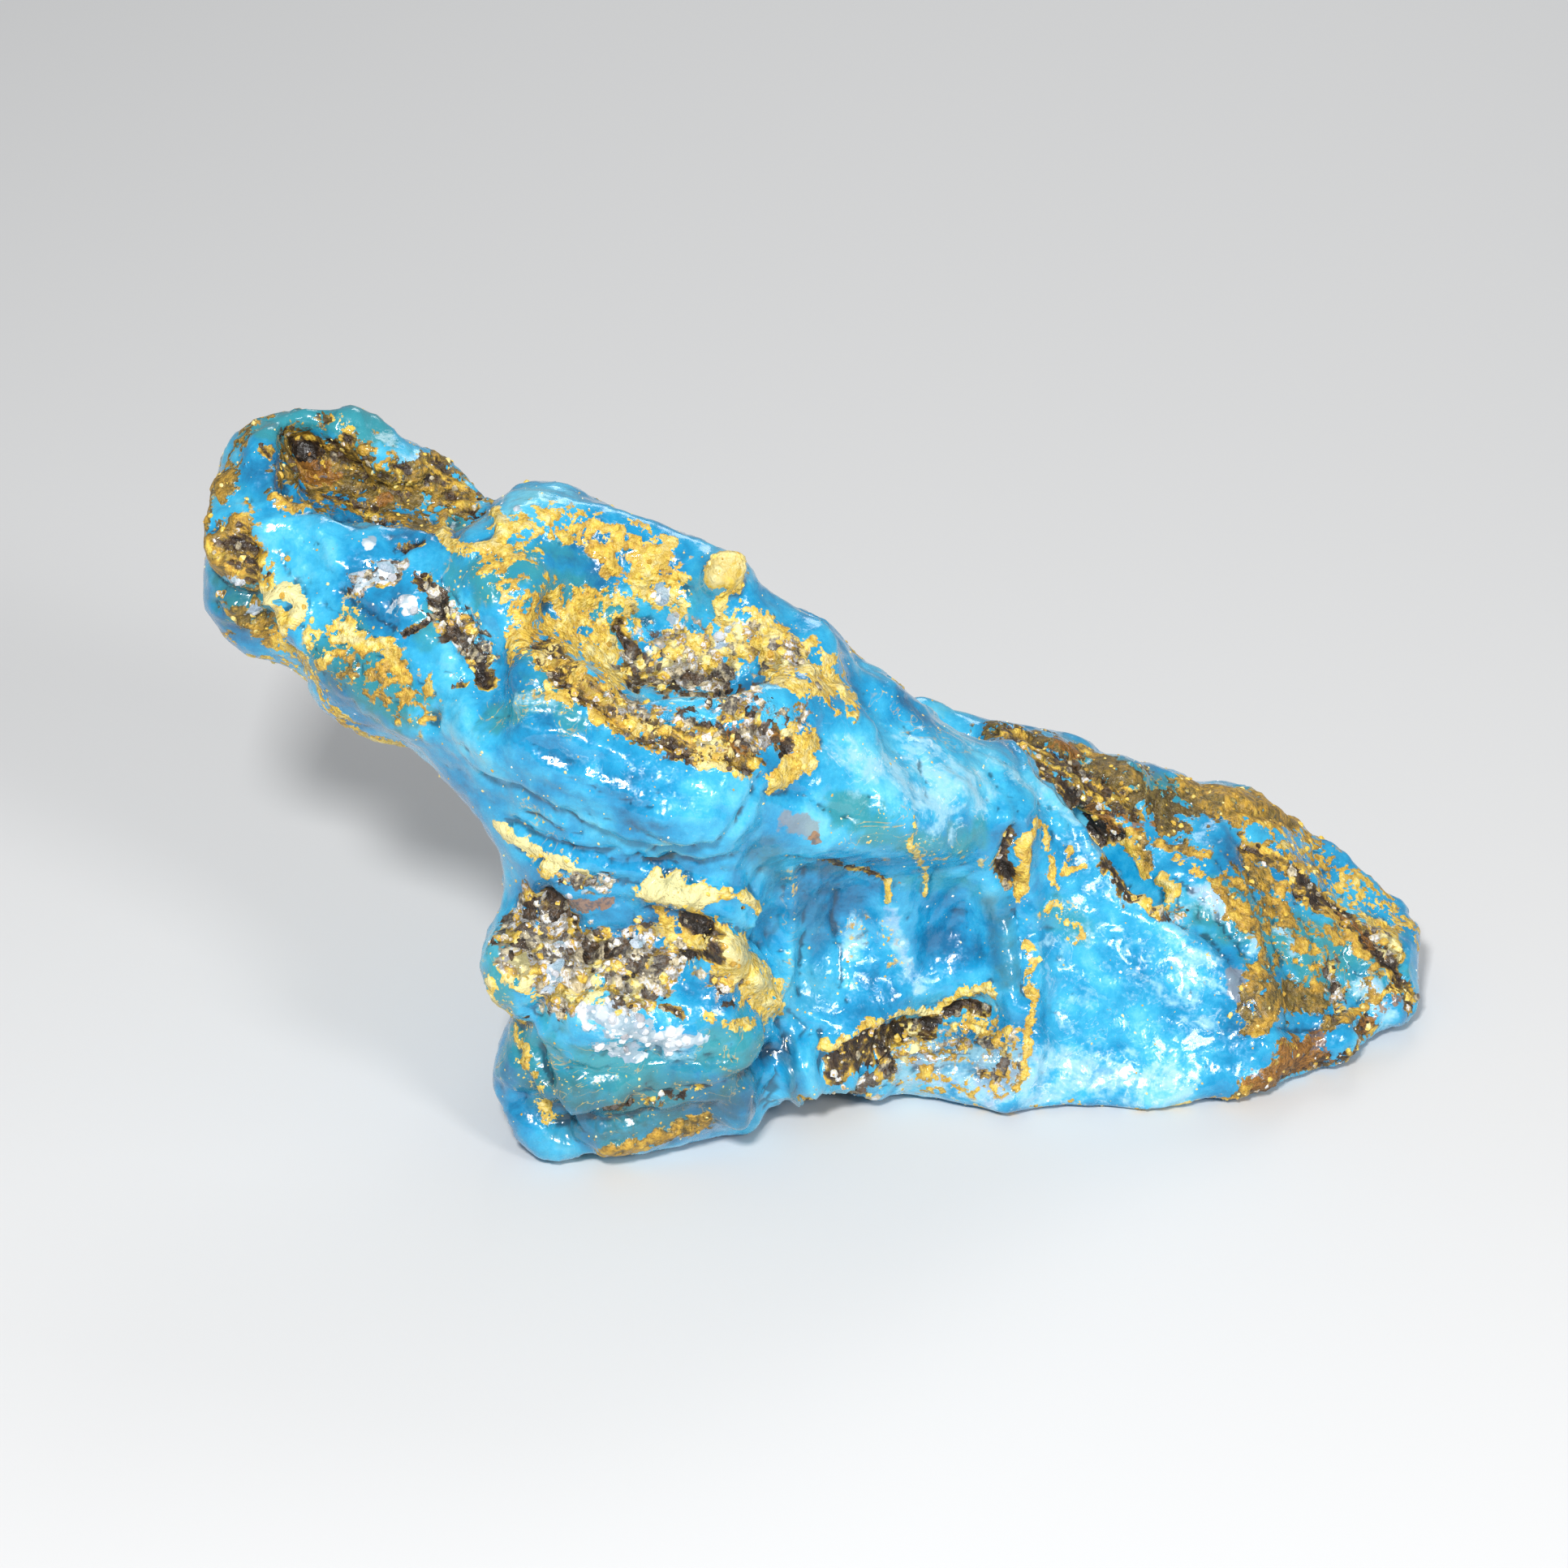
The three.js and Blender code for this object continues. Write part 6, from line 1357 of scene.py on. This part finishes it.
def gilded(nodes, c, m, shade):
    """Veins and dust of gold on the wax."""
    a, coarse, fine = m.cover, m.coarse, m.fine
    line = nodes.math("ABSOLUTE", nodes.math("SUBTRACT", m.swirl, 0.48))
    line = nodes.product(nodes.step(line, 0.016, 0.005), nodes.step(coarse, 0.42, 0.54), a["vein"])
    gilt = nodes.math("MULTIPLY", a["vein"], 0.22)
    gilt = nodes.total(gilt, (fine, 0.5, 2.2), (m.streak, 0.5, 1.0))
    gilt = nodes.math("MAXIMUM", line, nodes.step(gilt, 0.54, 0.60))
    metal = nodes.blend(nodes.step(fine, 0.40, 0.62), c.ochre, c.yellow)
    shade = nodes.blend(nodes.product(gilt, nodes.step(a["vein"], 0.0, 0.4), 0.9), shade, metal)
    dust = nodes.total(a["crust"], (coarse, 0.5, 1.2), (m.pucker, 0.5, 1.2), (fine, 0.5, 1.6))
    dust = nodes.total(dust, (a["bare"], 0.0, -1.0))
    metal = nodes.blend(nodes.step(a["dull"], 0.2, 0.9, 0.0, 0.6), c.yellow, c.olive)
    dust = nodes.product(nodes.step(dust, 0.45, 0.51, 0.0, 0.92), m.near["crust"])
    return nodes.blend(dust, shade, metal)


def crusted(nodes, m, shade):
    """Adds the ochre crust. Gives the shade, the crust's mask and the mask of its rust."""
    a, coarse, fine = m.cover, m.coarse, m.fine
    level = nodes.total(a["crust"], (coarse, 0.5, CRUST_COARSE), (m.pucker, 0.5, CRUST_PUCKER))
    level = nodes.total(level, (a["bare"], 0.0, -1.0))
    crust = nodes.product(nodes.step(level, 0.38, 0.44), m.near["crust"])
    tone = nodes.step(level, 0.37, 0.75, 0.54, 0.78)
    tone = nodes.total(tone, (m.broad, 0.5, 0.5), (m.hue["Blue"], 0.5, 0.2), (fine, 0.5, 0.55))
    tone = nodes.total(tone, (a["dull"], 0.0, -0.38), (a["cream"], 0.0, 0.30))
    # Painted shade: the crust darker in hollows.
    tone = nodes.total(tone, (a["hollow"], 0.0, -0.12))
    stain = nodes.step(nodes.total(a["rust"], (coarse, 0.5, 1.6), (fine, 0.5, 1.2)), 0.44, 0.54)
    gaps = nodes.product(m.gap, nodes.step(a["cream"], 0.2, 0.8, 0.35, 0.15))
    inputs = {"Tone": tone, "Rust": stain, "Gap": gaps}
    crust_shade = use_group(nodes, "Crust Colour", inputs)["Colour"]
    return nodes.blend(crust, shade, crust_shade), crust, stain


def soiled(nodes, c, m, shade, stain):
    """Adds the brown soil in the hollows, and the rust that runs over it."""
    a, fine = m.cover, m.fine
    soil = nodes.step(nodes.total(a["earth"], (m.coarse, 0.5, -1.8), (fine, 0.5, 0.7)), 0.38, 0.46)
    soil = nodes.product(soil, m.near["earth"])
    tone = nodes.total(0.56, (m.hue["Green"], 0.5, 0.25), (fine, 0.5, 0.8), (m.streak, 0.5, 2.6))
    thick = nodes.step(a["earth"], 0.6, 0.95)
    # Painted shade: the soil darker in hollows; it is also darker where the earth cover is dense,
    # which is its own tone.
    tone = nodes.total(tone, (a["hollow"], 0.0, -0.2), (thick, 0.0, -0.36))
    inputs = {"Tone": tone, "Gap": nodes.math("MULTIPLY", m.gap, 0.6)}
    shade = nodes.blend(soil, shade, use_group(nodes, "Soil Colour", inputs)["Colour"])
    rusty = nodes.blend(nodes.step(fine, 0.38, 0.62), tuple(0.4 * v for v in c.rust), c.rust)
    return nodes.blend(nodes.math("MULTIPLY", stain, 0.8), shade, rusty), soil


def gritty(nodes, m, shade):
    """Adds the beige and black grit."""
    a, fine, hue = m.cover, m.fine, m.hue
    grit = nodes.total(a["grit"], (m.coarse, 0.5, 1.0), (hue["Green"], 0.5, 0.6), (fine, 0.5, 0.5))
    grit = nodes.product(nodes.step(grit, 0.36, 0.50), m.near["grit"])
    tone = nodes.total(0.48, (hue["Red"], 0.5, 0.80), (fine, 0.5, 0.7))
    tone = nodes.total(tone, (a["cream"], 0.0, 0.1), (a["crust"], 0.0, 0.32))
    inputs = {"Tone": tone, "Gap": nodes.math("MULTIPLY", m.gap, 0.75)}
    return nodes.blend(grit, shade, use_group(nodes, "Grit Colour", inputs)["Colour"]), grit


def sanded(nodes, c, m, shade):
    """Adds the pale quartz sand."""
    sand = nodes.total(m.cover["sand"], (m.hue["Blue"], 0.5, 0.6), (m.coarse, 0.5, 0.5))
    sand = nodes.product(nodes.step(sand, 0.42, 0.50), m.near["sand"])
    grain = nodes.blend(nodes.step(m.hue["Red"], 0.1, 0.9), SAND_SHADE, c.sand)
    grain = nodes.blend(nodes.math("MULTIPLY", m.gap, 0.6), grain, SAND_GAP)
    return nodes.blend(sand, shade, grain)


def skin_material(c):
    material, nodes, surface = new_material("blue amber skin")
    m = SkinMasks(nodes)
    shade = gilded(nodes, c, m, wax_shade(nodes, c, m))
    shade, crust, stain = crusted(nodes, m, shade)
    shade, soil = soiled(nodes, c, m, shade, stain)
    shade, grit = gritty(nodes, m, shade)
    nodes.link(sanded(nodes, c, m, shade), surface.inputs["Base Color"])

    dull = nodes.math("MAXIMUM", nodes.math("MAXIMUM", crust, soil), grit)
    rough = nodes.math("MULTIPLY_ADD", dull, 0.26, nodes.step(m.fine, 0.35, 0.65, 0.13, 0.30))
    nodes.link(rough, surface.inputs["Roughness"])
    nodes.link(nodes.math("MULTIPLY_ADD", dull, -0.45, 0.55), surface.inputs["Coat Weight"])
    surface.inputs["Coat Roughness"].default_value = 0.05
    surface.inputs["IOR"].default_value = AMBER_IOR

    crumbs, between = nodes.math("MULTIPLY", m.fine, 1.1), nodes.math("MULTIPLY", m.middle, 0.8)
    crumbs = nodes.math("SUBTRACT", crumbs, between)
    pucker = nodes.math("MULTIPLY", m.pucker, 0.30)
    height = nodes.math("MULTIPLY_ADD", crumbs, m.cover["rugged"], pucker)
    bump = nodes.add("ShaderNodeBump", {"Height": height, "Strength": 0.85, "Distance": 0.0003})
    nodes.link(bump.outputs[0], surface.inputs["Normal"])
    return material


def grain_material(c, name, colours, rough, coat):
    """A finish for grains. colours(nodes, c, tone, fine) colours a grain by its own tone."""
    material, nodes, surface = new_material(name)
    place = nodes.scaled(nodes.add("ShaderNodeTexCoord").outputs["Object"], 1.0 / MM)
    fine = nodes.noise(place, 0.25, 2.0)
    nodes.link(colours(nodes, c, attribute(nodes, "tone"), fine), surface.inputs["Base Color"])
    nodes.link(nodes.step(fine, 0.3, 0.7, rough * 0.6, rough * 1.4), surface.inputs["Roughness"])
    surface.inputs["Coat Weight"].default_value = coat
    surface.inputs["Coat Roughness"].default_value = 0.08
    surface.inputs["IOR"].default_value = AMBER_IOR
    bump = nodes.add("ShaderNodeBump", {"Height": fine, "Strength": 0.6, "Distance": 0.00012})
    nodes.link(bump.outputs[0], surface.inputs["Normal"])
    return material


def sand_colours(nodes, c, tone, fine):
    shade = nodes.ramp(tone, (0.0, (0.36, 0.36, 0.40)), (0.5, c.sand), (1.0, (0.90, 0.92, 0.96)))
    return nodes.blend(nodes.step(fine, 0.52, 0.70, 0.0, 0.35), shade, c.stone)


def crumb_colours(nodes, _, tone, fine):
    tone = nodes.total(nodes.math("MULTIPLY_ADD", tone, 0.55, 0.34), (fine, 0.5, 0.5))
    return use_group(nodes, "Crust Colour", {"Tone": tone})["Colour"]


def grit_colours(nodes, _, tone, fine):
    tone = nodes.total(nodes.math("MULTIPLY_ADD", tone, 0.9, 0.05), (fine, 0.5, 0.6))
    return use_group(nodes, "Grit Colour", {"Tone": tone})["Colour"]


def speck_colours(nodes, c, tone, _):
    stops = ((0.0, c.ochre), (0.45, c.gold), (0.8, c.cream), (0.97, (0.86, 0.92, 0.95)))
    return nodes.ramp(tone, *stops)


# Grains: name -> (which settings they have, what they lie on, detail, roughness, coat, colours)
GRAIN_KINDS = {
    "sand_grains": ("sand", "sand cover", 2, 0.20, 0.6, sand_colours),
    "crust_crumbs": ("crumb", "crust cover", 2, 0.45, 0.2, crumb_colours),
    "grit_pieces": ("grit", "grit cover", 1, 0.40, 0.3, grit_colours),
    "gold_specks": ("speck", "wax cover", 1, 0.15, 0.7, speck_colours),
}


# ---- Grains: scattered on the skin by Geometry Nodes ----


def scatter_tree():
    """Grains on what a named attribute covers, each a chunk with at most a few dozen faces."""
    tree = bpy.data.node_groups.new("Scatter", "GeometryNodeTree")
    for socket_name, kind, default in (
        ("Skin", "NodeSocketGeometry", None),
        ("Cover Name", "NodeSocketString", "sand cover"),
        ("Density", "NodeSocketFloat", 1.0e6),
        ("Spacing", "NodeSocketFloat", 0.0004),
        ("Smallest", "NodeSocketFloat", 0.0003),
        ("Largest", "NodeSocketFloat", 0.0009),
        ("Sink", "NodeSocketFloat", 0.0001),
        ("Detail", "NodeSocketInt", 2),
        ("Seed", "NodeSocketInt", 1),
        ("Finish", "NodeSocketMaterial", None),
    ):
        socket = tree.interface.new_socket(socket_name, in_out="INPUT", socket_type=kind)
        if default is not None:
            socket.default_value = default
    tree.interface.new_socket("Grains", in_out="OUTPUT", socket_type="NodeSocketGeometry")
    nodes = Nodes(tree)
    given = tree.nodes.new("NodeGroupInput").outputs

    def random(kind, low, high, seed):
        node = nodes.add("FunctionNodeRandomValue", data_type=kind)
        sockets = {socket.name: socket for socket in node.inputs if socket.enabled}
        nodes.link(low, sockets["Min"])
        nodes.link(high, sockets["Max"])
        nodes.link(nodes.math("ADD", given["Seed"], float(seed)), sockets["Seed"])
        return next(socket for socket in node.outputs if socket.enabled)

    inputs = {"Name": given["Cover Name"]}
    cover = nodes.add("GeometryNodeInputNamedAttribute", inputs, data_type="FLOAT").outputs[0]
    inputs = {"Mesh": given["Skin"]}
    inputs |= {"Distance Min": given["Spacing"], "Density Max": given["Density"]}
    scatter = nodes.add("GeometryNodeDistributePointsOnFaces", inputs, distribute_method="POISSON")
    nodes.link(nodes.math("GREATER_THAN", cover, 0.5), scatter.inputs["Density Factor"])
    nodes.link(given["Seed"], scatter.inputs["Seed"])
    sunk = nodes.scaled(scatter.outputs["Normal"], nodes.math("MULTIPLY", given["Sink"], -1.0))
    inputs = {"Geometry": scatter.outputs["Points"], "Offset": sunk}
    points = nodes.add("GeometryNodeSetPosition", inputs)

    inputs = {"Radius": 0.5, "Subdivisions": given["Detail"]}
    ball = nodes.add("GeometryNodeMeshIcoSphere", inputs).outputs["Mesh"]
    where = nodes.add("GeometryNodeInputPosition").outputs[0]
    cell = nodes.add("ShaderNodeTexVoronoi", {"Vector": where, "Scale": 1.7}).outputs["Position"]
    pull = nodes.add("ShaderNodeVectorMath", {0: cell, 1: where}, operation="SUBTRACT").outputs[0]
    inputs = {"Geometry": ball, "Offset": nodes.scaled(pull, 0.3)}
    chunk = nodes.add("GeometryNodeSetPosition", inputs).outputs[0]

    size = nodes.math("POWER", random("FLOAT", 0.0, 1.0, 1), 2.0)
    spread = nodes.math("SUBTRACT", given["Largest"], given["Smallest"])
    size = nodes.math("MULTIPLY_ADD", size, spread, given["Smallest"])
    scale = nodes.scaled(random("FLOAT_VECTOR", (0.75, 0.75, 0.6), (1.25, 1.25, 1.0), 2), size)
    turn = random("FLOAT_VECTOR", (0.0,) * 3, (FULL_TURN,) * 3, 3)
    inputs = {"Points": points.outputs[0], "Instance": chunk, "Rotation": turn, "Scale": scale}
    placed = nodes.add("GeometryNodeInstanceOnPoints", inputs).outputs[0]
    inputs = {"Geometry": placed, "Name": "tone"}
    toned = nodes.add("GeometryNodeStoreNamedAttribute", inputs, domain="INSTANCE")
    value = next(s for s in toned.inputs if s.name == "Value" and s.enabled)
    nodes.link(random("FLOAT", 0.0, 1.0, 4), value)
    real = nodes.add("GeometryNodeRealizeInstances", {"Geometry": toned.outputs[0]}).outputs[0]
    inputs = {"Geometry": real, "Material": given["Finish"]}
    finished = nodes.add("GeometryNodeSetMaterial", inputs).outputs[0]
    nodes.link(finished, tree.nodes.new("NodeGroupOutput").inputs["Grains"])
    return tree


def scattered(name, values):
    """Runs the scatter tree on the skin, and keeps its grains as a piece of their own."""
    skin = bpy.data.objects["amber_skin"]
    tree = bpy.data.node_groups.get("Scatter") or scatter_tree()
    carrier = bpy.data.objects.new(name, skin.data)
    bpy.context.collection.objects.link(carrier)
    modifier = carrier.modifiers.new("Scatter", "NODES")
    modifier.node_group = tree
    items = [item for item in tree.interface.items_tree if item.in_out == "INPUT"]
    sockets = {item.name: item.identifier for item in items}
    for socket_name, value in values.items():
        modifier[sockets[socket_name]] = value
    mesh = plain_mesh(carrier, name)
    carrier.modifiers.clear()
    carrier.data = mesh
    if not mesh.polygons:
        raise RuntimeError(f"{name}: no grain was placed")
    mesh.shade_flat()
    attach(carrier, BODY)


# ---- Operators ----


class AMBER_OT_skin(bpy.types.Operator):
    """Lay the fine skin over the solid, and colour it"""

    bl_idname = "amber.skin"
    bl_label = "Amber Skin"

    def execute(self, context):
        settings, colours = context.scene.amber_skin, context.scene.amber_colours
        build_crust_colour(colours)
        build_grit_colour(colours)
        build_soil_colour(colours)
        skin = remeshed(merged_copy(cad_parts[NODE], "amber_skin"), settings.cell)
        shaped_skin(skin, settings)
        skin.data.materials.append(skin_material(colours))
        skin.data.shade_smooth()
        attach(skin, BODY)
        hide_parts(NODE)
        return {"FINISHED"}


class AMBER_OT_grains(bpy.types.Operator):
    """Scatter the quartz sand, the crumbs of crust, the grit and the gold specks"""

    bl_idname = "amber.grains"
    bl_label = "Sand, Crumbs, Grit and Specks"

    def execute(self, context):
        grains, colours = context.scene.amber_grains, context.scene.amber_colours
        for number, (name, row) in enumerate(GRAIN_KINDS.items()):
            kind, cover, detail, rough, coat, shades = row
            size = getattr(grains, f"{kind}_size")
            values = {
                "Cover Name": cover,
                "Density": getattr(grains, f"{kind}_share") / MM**2,
                "Spacing": size * 0.45,
                "Smallest": size * 0.35,
                "Largest": size,
                "Sink": size * 0.14,
                "Detail": detail,
                "Seed": grains.seed + number * 5,
            }
            finish = name.replace("_", " ")
            values["Finish"] = grain_material(colours, finish, shades, rough, coat)
            scattered(name, values)
        return {"FINISHED"}


class AMBER_OT_stage(bpy.types.Operator):
    """Set up the pale floor, the soft lights and the camera"""

    bl_idname = "amber.stage"
    bl_label = "Stage"

    def execute(self, context):
        settings = context.scene.amber_stage
        floor_mesh = bpy.data.meshes.new("floor")
        turns = ((-1, -1), (1, -1), (1, 1), (-1, 1))
        corners = [(FLOOR_REACH * x, FLOOR_REACH * y, 0.0) for x, y in turns]
        floor_mesh.from_pydata(corners, [], [(0, 1, 2, 3)])
        floor = bpy.data.objects.new("floor", floor_mesh)
        material, nodes, surface = new_material("floor")
        nodes.link(tuple(settings.floor), surface.inputs["Base Color"])
        surface.inputs["Roughness"].default_value = 0.7
        floor_mesh.materials.append(material)
        bpy.context.collection.objects.link(floor)

        for name, (place, size) in LIGHTS.items():
            self.softbox(name, Vector(place), size, getattr(settings, name))

        world = bpy.data.worlds.new("room")
        world.use_nodes = True
        background = world.node_tree.nodes["Background"]
        background.inputs["Color"].default_value = ROOM_COLOUR
        background.inputs["Strength"].default_value = settings.room
        context.scene.world = world
        context.scene.view_settings.view_transform = "Standard"

        lens = bpy.data.cameras.new("camera")
        lens.lens, lens.sensor_width = LENS, SENSOR
        camera = bpy.data.objects.new("camera", lens)
        outward = np.array((0.0, -math.cos(VIEW_ELEVATION), math.sin(VIEW_ELEVATION)))
        camera.location = (VIEW_MIDDLE + VIEW_DISTANCE * outward - OWN_AXES) * MM
        camera.rotation_euler = (math.pi / 2.0 - VIEW_ELEVATION, 0.0, 0.0)
        bpy.context.collection.objects.link(camera)
        context.scene.camera = camera
        return {"FINISHED"}

    def softbox(self, name, place, size, power):
        light = bpy.data.lights.new(name, "AREA")
        light.shape, light.size, light.energy = "SQUARE", size, power
        lamp = bpy.data.objects.new(name, light)
        lamp.location = place
        lamp.rotation_euler = (Vector(LIGHTS_MEET) - place).to_track_quat("-Z", "Y").to_euler()
        bpy.context.collection.objects.link(lamp)


class AMBER_PT_panel(bpy.types.Panel):
    """Lists the sizes and colours, and the steps that build the lump"""

    bl_label = "Rough Blue Amber"
    bl_idname = "AMBER_PT_panel"
    bl_space_type = "VIEW_3D"
    bl_region_type = "UI"
    bl_category = "Amber"

    def draw(self, context):
        for settings, steps in (
            (context.scene.amber_skin, ("amber.skin",)),
            (context.scene.amber_colours, ()),
            (context.scene.amber_grains, ("amber.grains",)),
            (context.scene.amber_stage, ("amber.stage",)),
        ):
            box = self.layout.box()
            for name in settings.__annotations__:
                box.prop(settings, name)
            for step in steps:
                box.operator(step)


GROUPS = {
    "amber_skin": SkinSettings,
    "amber_colours": ColourSettings,
    "amber_grains": GrainSettings,
    "amber_stage": StageSettings,
}
CLASSES = (*GROUPS.values(), AMBER_OT_skin, AMBER_OT_grains, AMBER_OT_stage, AMBER_PT_panel)


def register():
    for item in CLASSES:
        bpy.utils.register_class(item)
    for name, group in GROUPS.items():
        setattr(bpy.types.Scene, name, PointerProperty(type=group))


def unregister():
    for name in GROUPS:
        delattr(bpy.types.Scene, name)
    for item in reversed(CLASSES):
        bpy.utils.unregister_class(item)


def main():
    register()
    bpy.ops.amber.stage()
    bpy.ops.amber.skin()
    bpy.ops.amber.grains()


if __name__ == "__main__":
    main()
